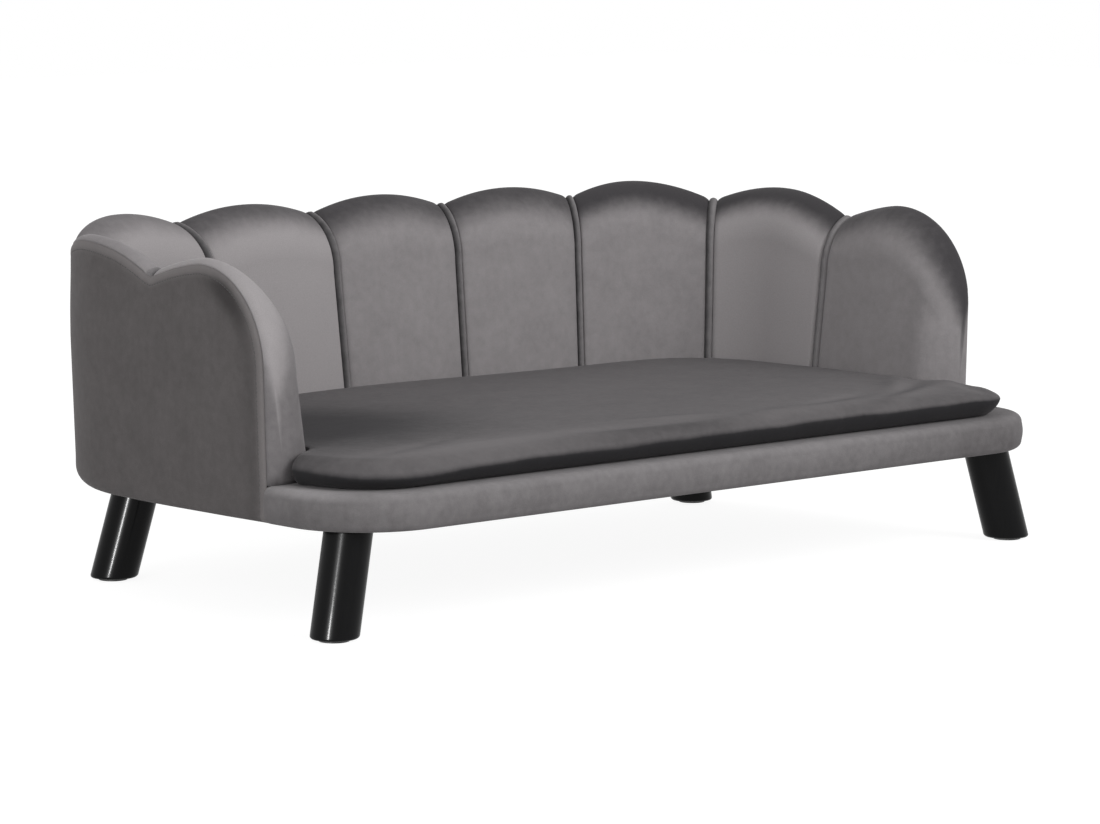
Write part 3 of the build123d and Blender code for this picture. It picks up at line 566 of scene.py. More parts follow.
# Painted shade on each strip's left side and a painted highlight on its right, and the first strip is
# painted lighter.
strip_light_level = 0.05
first_strip_light_level = 0.6
light_across_strip = 0.75
round_over = np.sqrt(np.clip(1 - strip_places**2, 0, 1))
for seam in range(1, channel_count):
    place = np.full_like(strip_places, outer_places[seam])
    sink = strip_sink - (strip_sink + strip_swell) * round_over
    depth, height = pad_outline(place, 0.0, sink, False)
    x, y = wall_position(place[:, None] + strip_half * strip_places[:, None], depth)
    points, faces = np.stack([x, y, height], -1), tube_faces(*depth.shape)
    lie_and_light = light_across_strip * strip_places[:, None] + (first_strip_light_level if seam == 1 else strip_light_level)
    nap_and_painted_light = np.broadcast_to(lie_and_light, depth.shape)
    strip = add_piece(f"strip_{seam}", points, faces, strip_velvet, "sofa", nap_and_painted_light)
    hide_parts(f"seam_strip_{seam}")

# Outer panel: one long piece of velvet over thin wadding, pulled round the outside of the wall
# and under the platform's edge, where it is stapled. Its top is sewn to the channels along the
# scallops and down the front of each arm.
stitch_line = seam_drop + 9.0
stitch_groove = 0.7
stitch_groove_width = 0.9
panel_edge_dip = 1.1
panel_edge_radius = 2.4
panel_bulge = 1.2
panel_bulge_width = 60.0
hem_rise = 0.95
hem_reach = 12.0
arm_hem_radius = 7.0
corner_hem_radius = 20.0
corner_hem_narrowing = 1.6
body_rows = 26
hem_turns = 10
near_seam = [0.0, 0.3, 0.7, 1.2, 1.9, 2.8, 4.0, 5.4, 6.8, 7.7, 8.2, 8.6, 9.0, 9.4, 9.8, 10.3]
seam_steps = seam_drop + np.array([*near_seam, 11.2, 13.0, 16.0, 20.0, 25.0, 31.0, 38.0])
valley_steps = np.array([-7.0, -3.0, 0.0, 3.0, 7.0])
cloth_thickness = 1.1
# The panel gets darker colours than the channels of the same cloth: partly painted shade, partly the
# pile's lie.
panel_velvet = velvet("grey_velvet_panel", "3A3737", "767272", 0.16, 0.30)
panel_lie_and_shade = -0.12
# Painted shade: a dark patch just below the seam near each arm's front, standing in for the shadow of a
# fold.
painted_patch_shade = -0.95
dark_patch = (19.0, 58.0, 12.0, 26.0)
# Painted light along the panel's top edge, next to its seam.
painted_edge_light = 0.9
painted_edge_light_width = 14.0


def add_thickness(piece, thickness):
    """Gives a cloth its thickness, on the side away from its face."""
    solidify = piece.modifiers.new("thickness", "SOLIDIFY")
    solidify.thickness = thickness * millimetre
    solidify.offset = -1.0


def bell(x, y, spot):
    """1 at the middle of a spot, falling as a bell to 1/e at its half sizes. A spot holds the place
    of its middle in both directions, then its half size in both."""
    middle_x, middle_y, half_x, half_y = spot
    return np.exp(-(((x - middle_x) / half_x) ** 2) - ((y - middle_y) / half_y) ** 2)


def panel_face(reach):
    """How far the panel stands out at a distance from the wall's edge: it bulges away from a rounded
    edge, dips into its seam, and has a groove where it is topstitched."""
    edge = quarter_dip(reach, crest_edge_radius)
    seam = panel_edge_dip * (1 - smooth_step((reach - seam_drop) / panel_edge_radius))
    groove = stitch_groove * np.exp(-(((reach - stitch_line) / stitch_groove_width) ** 2))
    return panel_bulge * smooth_step((reach - stitch_line) / panel_bulge_width) - edge - seam - groove


middle_places = between(seam_steps[-1], total_length - seam_steps[-1])
panel_places = np.concatenate([seam_steps[:-1], middle_places, total_length - seam_steps[-2::-1]])
panel_places = np.union1d(panel_places, outer_places[1:-1, None] + valley_steps)
panel_end = np.minimum(panel_places, total_length - panel_places)
corner_middle = arm_length + wall_corner_radius * wall_corner_turn / 2
in_corner = 1 - smooth_step(abs(panel_end - corner_middle) / corner_middle * corner_hem_narrowing)
hem_radius = arm_hem_radius + (corner_hem_radius - arm_hem_radius) * in_corner

reach = np.minimum(seam_steps[:, None], panel_end)
height = crest(panel_places, reach)
down = np.linspace(0, 1, body_rows + 1)[1:, None]
level = height[-1] + (platform_bottom + hem_radius - height[-1]) * down
reach = np.vstack([reach, np.minimum(panel_end, seam_steps[-1] + height[-1] - level)])
height = np.vstack([height, level])
depth = -panel_face(reach) - outward_lean(height)
turn = np.linspace(0, pi / 2, hem_turns + 1)[1:, None]
under = np.array([[0.3], [1.0]])
hem_depths = [depth[-1] + hem_radius * (1 - np.cos(turn)), depth[-1] + hem_radius + hem_reach * under]
hem_levels = [hem_radius * (1 - np.sin(turn)), hem_rise * smooth_step(under * 2) + 0 * panel_places]
depth = np.vstack([depth, *hem_depths])
height = np.vstack([height, platform_bottom + np.vstack(hem_levels)])
reach = np.vstack([reach, np.repeat(reach[-1:], len(depth) - len(reach), axis=0)])
x, y = wall_position(np.broadcast_to(panel_places, depth.shape), depth)
points, faces = np.stack([x, y, height], -1), grid_faces(*depth.shape)
# The panel's tone, with painted shade in the patch near each arm's front and painted light along the top
# edge.
edge_light_share = 1 - smooth_step((reach - seam_drop) / painted_edge_light_width)
nap_and_painted_light = panel_lie_and_shade + painted_patch_shade * bell(reach, panel_end, dark_patch) + painted_edge_light * edge_light_share
outer_panel = add_piece("outer_panel_velvet", points, faces, panel_velvet, "sofa", nap_and_painted_light)
add_thickness(outer_panel, cloth_thickness)
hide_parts("outer_panel")

# Topstitching: one row of dark polyester thread beside the panel's seam, up the front of one
# arm, along the scallops and down the other arm. Each stitch dips into the cloth at both ends.
stitch_pitch = 4.2
stitch_length = 3.3
stitch_radius = 0.42
stitch_rise = 0.30
stitch_sink = 0.15
stitch_sides = 5
stitch_rings = np.linspace(0, 1, 6)
stitch_foot = platform_bottom + 10.0
twist_pitch = 0.6

side_level = np.arange(stitch_foot, crest_heights[0] - arm_front_radius, 1.0)
top_place = np.arange(stitch_line, total_length - stitch_line, 1.0)
sides = np.full_like(side_level, stitch_line)
line_place = np.concatenate([sides, top_place, total_length - sides])
line_level = np.concatenate([side_level, crest(top_place, stitch_line), side_level[::-1]])
line_along = np.append(0.0, np.cumsum(np.hypot(np.diff(line_place), np.diff(line_level))))


def stitched_points(along, lift):
    """Points along the row of stitches at lengths from its start, lifted off the panel's face."""
    place = np.interp(along, line_along, line_place)
    level = np.interp(along, line_along, line_level)
    x, y = wall_position(place, -panel_face(stitch_line) - outward_lean(level) - lift)
    return np.stack([x, y, level], -1)


def unit(vectors):
    """Vectors brought to a length of 1."""
    return vectors / np.linalg.norm(vectors, axis=-1, keepdims=True)


def round_thread(middle, first, second, radius, sides):
    """Points round a thread's middle line, on circles in the plane of two directions."""
    turn = np.linspace(0, 2 * pi, sides + 1)[:-1, None]
    circle = first[..., None, :] * np.cos(turn) + second[..., None, :] * np.sin(turn)
    return middle[..., None, :] + radius * circle


def joined(parts):
    """The points and faces of several parts, as those of one mesh."""
    starts = np.cumsum([0] + [len(points) for points, _ in parts]).tolist()
    faces = [[i + start for i in face] for start, part in zip(starts, parts) for face in part[1]]
    return np.vstack([points for points, _ in parts]), faces


def speckled(name, dark, light, size, roughness, relief, detail=4.0, **sockets):
    """A finish whose colour and relief vary with a noise of one size in millimetres."""
    material, tree = new_material(name)
    place = add_node(tree, "ShaderNodeTexCoord").outputs["Object"]
    inputs = {"Vector": place, "Scale": 1 / (size * millimetre), "Detail": detail}
    noise = add_node(tree, "ShaderNodeTexNoise", inputs).outputs["Fac"]
    shades = {0: noise, 6: linear(dark), 7: linear(light)}
    colour = add_node(tree, "ShaderNodeMix", shades, data_type="RGBA").outputs[2]
    add_surface(tree, colour, noise, 0.4, relief, {"Roughness": roughness, **sockets})
    return material


stitch_start = np.arange(0.0, line_along[-1] - stitch_length, stitch_pitch)
along = stitch_start[:, None] + stitch_length * stitch_rings
lift = stitch_rise * np.sin(pi * stitch_rings) - stitch_sink
middle = stitched_points(along, lift)
tangent = unit(stitched_points(along + 0.5, lift) - stitched_points(along - 0.5, lift))
outward = unit(stitched_points(along, lift + 1.0) - middle)
blunt = np.sqrt(np.clip(1 - (2 * stitch_rings - 1) ** 6, 0.05, 1))[:, None, None]
stitches = round_thread(middle, np.cross(tangent, outward), outward, stitch_radius * blunt, stitch_sides)
stitch_faces = tube_faces(len(stitch_rings), stitch_sides)
points, faces = joined([(stitch.reshape(-1, 3), stitch_faces) for stitch in stitches])

thread = speckled("dark_polyester_thread", "242223", "4A4748", twist_pitch, 0.55, 0.2, detail=2.0)
add_piece("top_stitching", points, faces, thread, "sofa")

# Platform cover: velvet over thin foam, drawn over the platform's front and its rounded front
# corners and stapled below. It ends in a seam against the outer panel at the front of each arm,
# behind which it is tucked, and runs on under the cushion to the wall.
front_corner_radius = 95.0
cover_rows_under = 26
cover_lip_radius = 9.0
cover_hem_radius = 8.0
cover_bulge = 1.3
cover_step = 5.0
cover_margins = (12.0, 16.0, 20.0, 24.0)
wall_foot_inset = 28.0
cover_end = arm_front + seam_drop
cover_seam_dip = 1.2
cover_seam_radius = 6.0
cover_tuck = 5.5
cover_near = np.array([-8.0, -4.0, -1.5, -1.0, -0.5, *near_seam[:8]])
platform_velvet = velvet("grey_velvet_platform", "4A4748", "9A9798", 0.18, 0.35)
# Painted shade where the cover turns away from the top, more painted shade towards the right, a painted
# highlight on the left of the lip, and painted shade under the cushion.
facing_shade_slope = 0.52
under_cushion_shade = -0.2
right_shade = 0.26
shade_start = 150.0
shade_width = 300.0
left_glow = 0.45
glow_place = 45.0
glow_width = 45.0

straight_side = cover_end - front_edge - front_corner_radius
quarter_turn = front_corner_radius * pi / 2
half_cover = straight_side + quarter_turn + half_length - front_corner_radius
cover_length = 2 * half_cover


def platform_front(run, inset):
    """Plan points at lengths along the platform's front edge, from one arm round to the other, and
    insets from it: a straight side, a quarter circle, the front, and the same again."""
    mirrored = run > half_cover
    run = np.where(mirrored, cover_length - run, run)
    turn = np.clip(run - straight_side, 0, quarter_turn) / front_corner_radius
    x = -half_length + front_corner_radius - (front_corner_radius - inset) * np.cos(turn)
    x = x + np.maximum(run - straight_side - quarter_turn, 0)
    y = cover_end - np.minimum(run, straight_side) - (front_corner_radius - inset) * np.sin(turn)
    return np.where(mirrored, -x, x), y


cover_count = int((cover_length - 2 * cover_near[-1]) / cover_step)
cover_run = np.linspace(cover_near[-1], cover_length - cover_near[-1], cover_count)
cover_run = np.concatenate([cover_near[:-1], cover_run, cover_length - cover_near[-2::-1]])
from_end = np.minimum(cover_run, cover_length - cover_run)
edge_dip = cover_seam_dip * quarter_dip(np.maximum(from_end, 0), cover_seam_radius) / cover_seam_radius
edge_dip = edge_dip + cover_tuck * smooth_step(-from_end / 1.5)

hem_turn = np.linspace(pi / 2, 0, hem_turns + 1)
side_share = np.linspace(0, 1, 9)[1:-1]
side_rise = platform_top - cover_lip_radius - platform_bottom - cover_hem_radius
inset = [
    cover_hem_radius + hem_reach * under[::-1, 0],
    cover_hem_radius * (1 - np.cos(hem_turn)),
    -cover_bulge * np.sin(pi * side_share),
    cover_lip_radius * (1 - np.cos(hem_turn[::-1])),
    cover_margins,
]
level = [
    np.full(len(under), platform_bottom + hem_rise),
    platform_bottom + cover_hem_radius * (1 - np.sin(hem_turn)),
    platform_bottom + cover_hem_radius + side_rise * side_share,
    platform_top - cover_lip_radius * (1 - np.sin(hem_turn[::-1])),
    np.full(len(cover_margins), platform_top),
]
facing = [
    np.full(len(under) + len(hem_turn), 0.4),
    0.4 + 0.25 * side_share,
    0.65 + 0.4 * np.sin(hem_turn[::-1]),
    np.full(len(cover_margins), 0.95),
]
inset, level, facing = (np.concatenate(part)[:, None] for part in (inset, level, facing))
x, y = platform_front(cover_run, inset + edge_dip)
# Painted shade by how far each row faces up, painted shade to the right, and the painted highlight on the
# left lip.
left_lip = np.exp(-(((cover_run - glow_place) / glow_width) ** 2)) * smooth_step((facing - 0.6) / 0.35)
to_right = smooth_step((x - shade_start) / shade_width)
nap_and_painted_light = facing_shade_slope * (facing - 1) - right_shade * to_right + left_glow * left_lip

inner_length = line_lengths(wall_foot_inset)[1] - 2 * seam_allowance
inner_place = seam_allowance + np.clip(cover_run / cover_length, 0, 1) * inner_length
inner_x, inner_y = wall_point(inner_place, wall_foot_inset)
share = np.linspace(0, 1, cover_rows_under + 1)[1:, None]
x = np.vstack([x, x[-1] * (1 - share) + inner_x * share])
y = np.vstack([y, y[-1] * (1 - share) + inner_y * share])
z = np.broadcast_to(np.vstack([level, np.full_like(share, platform_top)]), x.shape)
nap_and_painted_light = np.vstack([nap_and_painted_light, np.full((cover_rows_under, len(cover_run)), under_cushion_shade)])
points, faces = np.stack([x, y, z], -1), grid_faces(*x.shape)
cover = add_piece("platform_cover_velvet", points, faces, platform_velvet, "sofa", nap_and_painted_light)
add_thickness(cover, cloth_thickness)
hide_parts("platform_cover")

# Cushion: a loose pad of foam in dark velvet, necked in between the arms. Top and underside meet
# in a seam all round, the top is crowned and softly folded, and a groove below holds the zip. The
# two ends in front of the arms are pushed in, the right one more than the left.
cushion_bottom = platform_top + 0.3
cushion_height = 34.0
cushion_wall_inset = 69.4
cushion_front = front_edge + 17.0
cushion_half_width = 472.0
cushion_front_radius = 82.0
cushion_ear_radius = 14.0
cushion_neck_gap = 1.2
left_ear_share = 0.94
right_ear_share = 0.70
cushion_ear_rear = arm_front - 2.0
cushion_neck_x = half_length - cushion_wall_inset
cushion_middle_y = (cushion_front + rear_edge - cushion_wall_inset) / 2
cushion_seam_height = 15.0
left_seam_fall = 5.5
left_seam_spot = (-410.0, -262.0, 70.0, 70.0)
right_seam_rise = 3.0
crown_sink = 1.6
crown_fall = 4.6
cushion_top_roll = 24.0
cushion_roll_power = 1.7
cushion_step = 7.0
underside_step = 14.0
outline_step = 5.0
pressed_share = 0.22
# Rings from the underside up to the seam: the height of each, and how far it lies in.
side_profile = ((0.0, 19.0), (1.5, 13.0), (4.0, 8.5), (7.0, 5.0), (10.0, 2.4), (12.5, 0.9), (15.0, 0.0))
roll_shares = (0.012, 0.05, 0.11, 0.19, 0.29, 0.41, 0.54, 0.68, 0.84, 1.0)
zip_length = 420.0
zip_place = 110.0
zip_groove_width = 26.0
zip_groove_depth = 7.0
groove_columns = 31
cushion_velvet = velvet("dark_velvet_cushion", "232224", "676465", 0.14, 0.4)
# Painted shade on the side below the seam and on the underside, and the top lifted out of it.
underside_shade = -1.1
top_lift = 1.27
rear_shade = -1.35
rear_shade_spot = (-330.0, -20.0, 130.0, 130.0)
# Painted sheen: a lighter band along the front left of the top.
painted_front_sheen = 0.6
painted_front_sheen_spot = (-290.0, -225.0, 120.0, 34.0)
# Painted light on the slopes of the folds that rise towards the back and so face the front.
painted_fold_sheen = 0.4
fold_step = 4.0
# How far each ring, from the underside up, is lifted out of the painted shade.
side_lift_shares = np.array([0.0, 0.0, 0.0, 0.0, 0.02, 0.05, 0.22, 0.55, 0.85])
# Each fold: the place of its middle, its turn in degrees, its half length, half width and rise.
cushion_folds = (
    (-300.0, -222.0, 4.0, 110.0, 13.0, 1.5),
    (-345.0, -196.0, 16.0, 70.0, 10.0, -1.3),
    (-90.0, -232.0, -6.0, 95.0, 12.0, -1.8),
    (-20.0, -205.0, -12.0, 80.0, 11.0, 1.4),
    (130.0, -236.0, 5.0, 90.0, 12.0, 1.6),
    (215.0, -214.0, 14.0, 70.0, 10.0, -1.6),
    (330.0, -215.0, 24.0, 90.0, 12.0, 1.7),
    (352.0, -186.0, 31.0, 85.0, 11.0, -1.8),
    (372.0, -150.0, 42.0, 80.0, 12.0, 1.5),
    (420.0, -215.0, 62.0, 45.0, 10.0, -1.6),
    (0.0, -20.0, 2.0, 230.0, 95.0, -2.2),
)


def arc(centre_x, centre_y, radius, start, stop):
    """Points on an arc about a centre, from one angle to another in degrees."""
    turn = np.radians(np.linspace(start, stop, 25))
    return np.stack([centre_x + radius * np.cos(turn), centre_y + radius * np.sin(turn)], -1)


def cushion_outline():
    """Points round the cushion, a step apart, from the middle of its front by its left side to the
    back, with the inward directions and the share of free roll: less where the wall presses."""
    left = -cushion_half_width
    front, ear = cushion_front_radius, cushion_ear_radius
    front_turn = arc(left + front, cushion_front + front, front, 270, 180)
    ear_turn = arc(left + ear, cushion_ear_rear - ear, ear, 180, 90)
    neck_start = half_length - cushion_half_width + ear
    neck_end = arm_end_depth + cushion_neck_gap
    neck_swing = cushion_wall_inset - neck_end
    turn = np.linspace(np.arcsin((neck_start - neck_end) / neck_swing), pi / 2, 25)
    neck_y = arm_front + arm_end_roll - (arm_end_roll + cushion_neck_gap) * np.cos(turn)
    neck_turn = np.stack([neck_end + neck_swing * np.sin(turn) - half_length, neck_y], -1)
    half = line_lengths(cushion_wall_inset)[1] / 2
    beside = np.linspace(arm_end_roll, half - 0.001, 160)[1:]
    beside_wall = np.stack(wall_point(beside, cushion_wall_inset), -1)
    parts = [np.array([[0.0, cushion_front]]), front_turn, ear_turn, neck_turn, beside_wall]
    rolls = [1.0, 1.0, 0.45, 0.0, pressed_share]
    points = np.concatenate(parts)
    roll = np.repeat(rolls, [len(part) for part in parts])
    points = np.concatenate([points, points[::-1] * (-1, 1), points[:1]])
    roll = np.concatenate([roll, roll[::-1], roll[:1]])
    ear_share = np.where(points[:, 0] > 0, right_ear_share, left_ear_share)
    beyond_neck = np.maximum(abs(points[:, 0]) - cushion_neck_x, 0)
    points[:, 0] -= np.sign(points[:, 0]) * beyond_neck * (1 - ear_share)
    along = np.append(0.0, np.cumsum(np.linalg.norm(np.diff(points, axis=0), axis=1)))
    even = np.linspace(0, along[-1], int(along[-1] / outline_step) + 1)[:-1]
    x, y = np.interp(even, along, points[:, 0]), np.interp(even, along, points[:, 1])
    roll = np.interp(even, along, roll)
    for _ in range(8):
        roll = (np.roll(roll, 1) + roll + np.roll(roll, -1)) / 3
    turn_x, turn_y = np.roll(x, -1) - np.roll(x, 1), np.roll(y, -1) - np.roll(y, 1)
    size = np.hypot(turn_x, turn_y)
    return x, y, turn_y / size, -turn_x / size, roll, even


def crown_height(x, y):
    """Height of the crowned top above the cushion's underside, falling from its middle to its sides,
    with the slow waves that soft foam leaves in it and the folds of its cover."""
    half_depth = rear_edge - cushion_wall_inset - cushion_middle_y
    fall = 0.55 * (x / cushion_neck_x) ** 2 + 0.45 * ((y - cushion_middle_y) / half_depth) ** 2
    waves = 0.55 * np.sin(x / 61.0 + y / 97.0) + 0.45 * np.sin(y / 43.0 - x / 83.0 + 1.3)
    level = cushion_height - crown_sink - crown_fall * fall + waves
    for middle_x, middle_y, turn, half_run, half_width, rise in cushion_folds:
        run_x, run_y = cos(radians(turn)), sin(radians(turn))
        along = (x - middle_x) * run_x + (y - middle_y) * run_y
        across = (y - middle_y) * run_x - (x - middle_x) * run_y
        level = level + rise * bell(along, across, (0.0, 0.0, half_run, half_width))
    return level


def inside_outline(x, y, outline_x, outline_y):
    """Whether points lie inside a closed outline: a ray from each crosses it an odd number of times."""
    next_x, next_y = np.roll(outline_x, -1), np.roll(outline_y, -1)
    spans = (outline_y > y[:, None]) != (next_y > y[:, None])
    rise = np.where(next_y == outline_y, 1.0, next_y - outline_y)
    cross_x = outline_x + (y[:, None] - outline_y) / rise * (next_x - outline_x)
    return np.sum(spans & (x[:, None] < cross_x), 1) % 2 == 1


def filled_outline(x, y, step, hole=None):
    """Points and triangles that fill an outline: a grid of triangles between its own points, and the
    points of a hole's outline, whose middle is filled too."""
    rows = np.arange(y.min(), y.max(), step * sqrt(3) / 2)
    columns = np.arange(x.min(), x.max(), step)
    grid_x = (columns + (np.arange(len(rows)) % 2)[:, None] * step / 2).ravel()
    grid_y = np.repeat(rows, len(columns))
    keep = inside_outline(grid_x, grid_y, x, y)
    grid_x, grid_y = grid_x[keep], grid_y[keep]
    loops = [list(range(len(x)))]
    if hole is not None:
        loops.append(list(range(len(x), len(x) + len(hole))))
        x, y = np.append(x, hole[:, 0]), np.append(y, hole[:, 1])
    near = np.min((grid_x[:, None] - x) ** 2 + (grid_y[:, None] - y) ** 2, 1) < (0.7 * step) ** 2
    all_x, all_y = np.append(x, grid_x[~near]), np.append(y, grid_y[~near])
    points = [Vector(point) for point in zip(all_x.tolist(), all_y.tolist())]
    edges = [(loop[i - 1], loop[i]) for loop in loops for i in range(len(loop))]
    result = delaunay_2d_cdt(points, edges, [loops[0]], 1, 1e-4)
    return np.array([tuple(point) for point in result[0]]), [list(face) for face in result[2]]


edge_x, edge_y, inward_x, inward_y, roll, along = cushion_outline()
wave = 0.5 * np.sin(along / 29.0) + 0.35 * np.sin(along / 13.0 + 1.0)
front_right = smooth_step((edge_x + 150.0) / 350.0) * (edge_y < -160.0)
seam_level = cushion_seam_height + wave + right_seam_rise * front_right
seam_level = seam_level - left_seam_fall * bell(edge_x, edge_y, left_seam_spot)
pucker = 0.35 * np.sin(along / 6.1) * (0.6 + 0.4 * np.sin(along / 37.0))

rings = []
for level, inset in side_profile:
    x, y = edge_x + inward_x * inset * roll, edge_y + inward_y * inset * roll
    rings.append((x, y, cushion_bottom + seam_level * level / cushion_seam_height))
for share in roll_shares:
    inset = share * cushion_top_roll * roll
    x, y = edge_x + inward_x * inset, edge_y + inward_y * inset
    blend = (1 - (1 - share) ** cushion_roll_power) ** (1 / cushion_roll_power)
    level = seam_level + (crown_height(x, y) - seam_level) * blend
    level = level + pucker * (1 - share) ** 2 * share * 6
    rings.append((x, y, cushion_bottom + level))
ring_points = np.stack([np.stack(ring, -1) for ring in rings]).reshape(-1, 3)
ring_faces = grid_faces(len(rings), len(edge_x), closed_columns=True)
top_plan, top_faces = filled_outline(*rings[-1][:2], cushion_step)
top = np.column_stack([top_plan, cushion_bottom + crown_height(top_plan[:, 0], top_plan[:, 1])])

groove_x = np.linspace(-zip_length / 2, zip_length / 2, groove_columns)
groove_sides = np.repeat(zip_place + np.array([-0.5, 0.5]) * zip_groove_width, groove_columns)
groove = np.column_stack([np.append(groove_x, groove_x[::-1]), groove_sides])
low_plan, low_faces = filled_outline(*rings[0][:2], underside_step, groove)
low = np.column_stack([low_plan, np.full(len(low_plan), cushion_bottom)])
centres = np.array([low_plan[face].mean(0) for face in low_faces])
in_groove = abs(centres[:, 1] - zip_place) < zip_groove_width / 2
in_groove = in_groove & (abs(centres[:, 0]) < zip_length / 2)
flat_faces = [face for face, roofed in zip(low_faces, in_groove) if not roofed]
roof_faces = [face for face, roofed in zip(low_faces, in_groove) if roofed]
groove_low = np.column_stack([groove, np.full(len(groove), cushion_bottom)])
groove_wall = np.vstack([groove_low, groove_low + (0, 0, zip_groove_depth)])
wall_faces = grid_faces(2, len(groove), closed_columns=True)

parts = [(ring_points, ring_faces), (top, top_faces), (low, flat_faces)]
parts += [(low + (0, 0, zip_groove_depth), roof_faces), (groove_wall, wall_faces)]
points, faces = joined(parts)
plan_x, plan_y = points[:, 0], points[:, 1]
# Painted shade below the seam, the painted shadow at the rear left, painted sheen at the front left, and
# painted light on fold slopes that face the front.
ring_lift_shares = np.append(side_lift_shares, np.ones(len(rings) - len(side_lift_shares)))
lit = np.append(np.repeat(ring_lift_shares, len(edge_x)), np.ones(len(top)))
lit = np.append(lit, np.zeros(len(points) - len(lit)))
light = top_lift + rear_shade * bell(plan_x, plan_y, rear_shade_spot)
light = light + painted_front_sheen * bell(plan_x, plan_y, painted_front_sheen_spot)
slope = crown_height(plan_x, plan_y + fold_step) - crown_height(plan_x, plan_y - fold_step)
nap_and_painted_light = underside_shade + (light + painted_fold_sheen * slope) * lit
cushion = add_piece("cushion_velvet", points, faces, cushion_velvet, "cushion", nap_and_painted_light)
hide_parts("cushion_cover", "cushion_foam")

# Frame, boards and fittings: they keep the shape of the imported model, and each gets the finish
# that its own slot names. Grain and speckle follow the real size of what they show.
grain_length = 260.0
grain_width = 7.0


def grained_wood(name, dark, light, roughness):
    """Bare softwood or veneer: long streaks of late growth along X, with fine pores in them."""
    material, tree = new_material(name)
    place = add_node(tree, "ShaderNodeTexCoord").outputs["Object"]
    stretch = (grain_width / grain_length, 1.0, 1.0)
    along = add_node(tree, "ShaderNodeMapping", {"Vector": place, "Scale": stretch}).outputs[0]
    inputs = {"Vector": along, "Scale": 1 / (grain_width * millimetre), "Detail": 6.0, "Distortion": 0.8}
    streaks = add_node(tree, "ShaderNodeTexNoise", inputs).outputs["Fac"]
    steep = {"Value": streaks, "From Min": 0.32, "From Max": 0.68}
    share = add_node(tree, "ShaderNodeMapRange", steep).outputs[0]
    shades = {0: share, 6: linear(dark), 7: linear(light)}
    colour = add_node(tree, "ShaderNodeMix", shades, data_type="RGBA").outputs[2]
    add_surface(tree, colour, streaks, 0.3, 0.3, {"Roughness": roughness})
    return material


finishes = {
    "pine": grained_wood("sawn_pine", "A98352", "D8B98A", 0.7),
    "plywood": grained_wood("sanded_plywood", "B08E60", "CFB083", 0.65),
    "zinc_steel": speckled("zinc_plated_steel", "8F918F", "B4B5B2", 2.0, 0.34, 0.02, Metallic=1.0),
    "black_nylon": speckled("moulded_nylon", "121213", "1E1E1F", 0.8, 0.6, 0.05),
    "black_nonwoven": speckled("bonded_cloth", "131314", "2A2A2B", 1.4, 0.95, 0.15),
    "foam": speckled("cut_foam", "BDB49A", "E6DEC6", 1.0, 0.95, 0.30),
    "zip_metal": speckled("enamelled_zinc", "161617", "242425", 1.5, 0.35, 0.02),
}
for part in frame["record"]["subparts"]:
    finish = finishes.get(part["material_slot"])
    if finish:
        materials = frame["nodes"][part["node"]].data.materials
        materials.clear()
        materials.append(finish)

# Legs: turned wood under sprayed black lacquer, a gloss coat with a slight orange-peel ripple
# over the faint grain. They lean outwards, sawn level at both ends and rounded at the foot, and
# have many sides, so that a lamp's reflection runs down them as one smooth line.
leg_radius = 23.5
leg_lean = (26.8, 10.0)
leg_foot_radius = 3.0
leg_sides = 96
leg_middles = (30.0, 65.0)
crisp_step = 0.3
cap_inset = 0.02
leg_tops = {"front": (443.0, -216.5), "rear": (383.0, 191.0)}
peel_size = 4.0
leg_grain_width = 1.8
leg_grain_length = 45.0

lacquer, tree = new_material("black_lacquered_wood")
place = add_node(tree, "ShaderNodeTexCoord").outputs["Object"]
ripple = {"Vector": place, "Scale": 1 / (peel_size * millimetre), "Detail": 1.0}
peel = add_node(tree, "ShaderNodeTexNoise", ripple).outputs["Fac"]
stretch = (1.0, 1.0, leg_grain_width / leg_grain_length)
upright = add_node(tree, "ShaderNodeMapping", {"Vector": place, "Scale": stretch}).outputs[0]
grain = {"Vector": upright, "Scale": 1 / (leg_grain_width * millimetre), "Detail": 4.0}
streaks = add_node(tree, "ShaderNodeTexNoise", grain).outputs["Fac"]
shades = {0: streaks, 6: linear("080809"), 7: linear("101011")}
colour = add_node(tree, "ShaderNodeMix", shades, data_type="RGBA").outputs[2]
height = add_node(tree, "ShaderNodeMath", {0: peel, 1: 0.6, 2: streaks}, **multiply_add).outputs[0]
gloss = {"Roughness": 0.30, "Specular IOR Level": 0.04, "Coat Weight": 0.12, "Coat Roughness": 0.15}
add_surface(tree, colour, height, 0.12, 0.2, gloss)

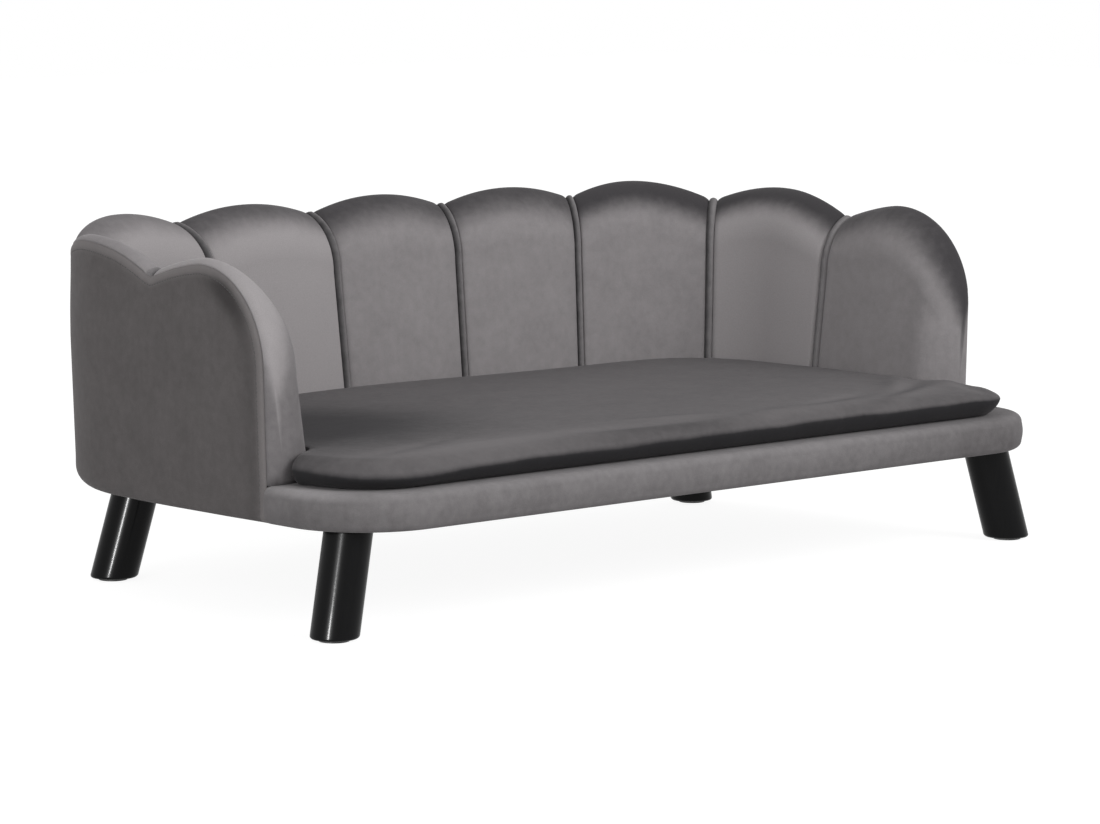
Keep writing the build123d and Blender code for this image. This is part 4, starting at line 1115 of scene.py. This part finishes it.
leg_turn = np.linspace(0, 2 * pi, leg_sides + 1)[:-1]
lean = np.hypot(*leg_lean)
along = leg_radius * np.hypot(1, lean / platform_bottom) * np.cos(leg_turn)
across = leg_radius * np.sin(leg_turn)
foot_turn = np.linspace(0, pi / 2, 9)
foot_sizes = 1 - leg_foot_radius / leg_radius * (1 - np.sin(foot_turn))
ring_sizes = [foot_sizes[0] - cap_inset, *foot_sizes, 1.0, 1.0, 1.0, 1.0, 1.0 - cap_inset]
ring_size = np.array(ring_sizes)[:, None]
leg_faces = tube_faces(len(ring_size), leg_sides)
for end, (top_x, top_y) in leg_tops.items():
    for side, mirror in (("left", -1), ("right", 1)):
        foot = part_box(f"leg_{end}_{side}")[0][2] / millimetre
        lean_x, lean_y = leg_lean[0] * mirror, leg_lean[1] * np.sign(top_y)
        foot_levels = foot + leg_foot_radius * (1 - np.cos(foot_turn))
        levels = [foot, *foot_levels, *(foot + middle for middle in leg_middles)]
        levels += [platform_bottom - crisp_step, platform_bottom, platform_bottom]
        level = np.array(levels)[:, None]
        drop = 1 - level / platform_bottom
        x = top_x * mirror + lean_x * drop + (along * lean_x - across * lean_y) / lean * ring_size
        y = top_y + lean_y * drop + (along * lean_y + across * lean_x) / lean * ring_size
        points = np.stack(np.broadcast_arrays(x, y, level), -1)
        name = f"lacquered_leg_{end}_{side}"
        leg = add_piece(name, points, leg_faces, lacquer, "sofa")
        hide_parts(f"leg_{end}_{side}")

# Zip: two woven tapes in the cushion's groove, joined by a closed row of nylon coil. The coil of
# each tape is a flattened spiral, and the turns of one lie between the turns of the other.
tape_low, tape_high = (np.array(corner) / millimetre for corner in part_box("zip_tape"))
tape_thickness = 1.0
tape_rib = 0.12
tape_rib_turn = 2.4
tape_gap = 0.15
tape_edge_dip = 0.3
tape_selvedge = 1.6
tape_columns = 60
coil_pitch = 1.27
coil_wire = 0.36
coil_reach = 205.0
coil_half_width = 1.55
coil_offset = 0.75
coil_half_height = 0.60
coil_sides = 5
coil_steps = 10
woven_tape = speckled("woven_zip_tape", "1B1A1B", "343233", 0.7, 0.85, 0.10)

tape_x = np.linspace(tape_low[0], tape_high[0], tape_columns)[:, None]
tape_edge = np.array([0.0, 0.25, 0.6, 1.0])
width = (tape_high[1] - tape_low[1]) / 2
ribbed = np.linspace(tape_selvedge, width - tape_selvedge, 14)
across = np.concatenate([tape_gap + tape_edge, ribbed, width - tape_edge[::-1]])
dip = tape_edge_dip * quarter_dip(np.minimum(across - tape_gap, width - across), 1.0)
rib = tape_rib * np.sin(across * tape_rib_turn) ** 2
z = np.append(tape_high[2] - tape_thickness + dip + rib, (tape_high[2] - dip)[::-1])
parts = []
for side in (-1, 1):
    y = zip_place + side * np.append(across, across[::-1])
    tape = np.stack(np.broadcast_arrays(tape_x, y, z), -1)
    parts.append((tape.reshape(-1, 3), tube_faces(*tape.shape[:2])))
turn = np.arange(0, 2 * coil_reach / coil_pitch * 2 * pi, 2 * pi / coil_steps)
for side in (-1, 1):
    x = turn / (2 * pi) * coil_pitch - coil_reach + (side + 1) * coil_pitch / 4
    y = zip_place + side * coil_offset + coil_half_width * np.cos(turn)
    z = tape_low[2] + coil_half_height + coil_wire + coil_half_height * np.sin(turn)
    middle = np.stack([x, y, z], -1)
    tangent = unit(np.gradient(middle, axis=0))
    first = unit(np.cross(tangent, (1.0, 0.0, 0.0)))
    coil = round_thread(middle, first, np.cross(tangent, first), coil_wire, coil_sides)
    parts.append((coil.reshape(-1, 3), tube_faces(len(turn), coil_sides)))
points, faces = joined(parts)
zip_coil = add_piece("zip_coil_and_tapes", points, faces, woven_tape, "cushion")
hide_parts("zip_tape")
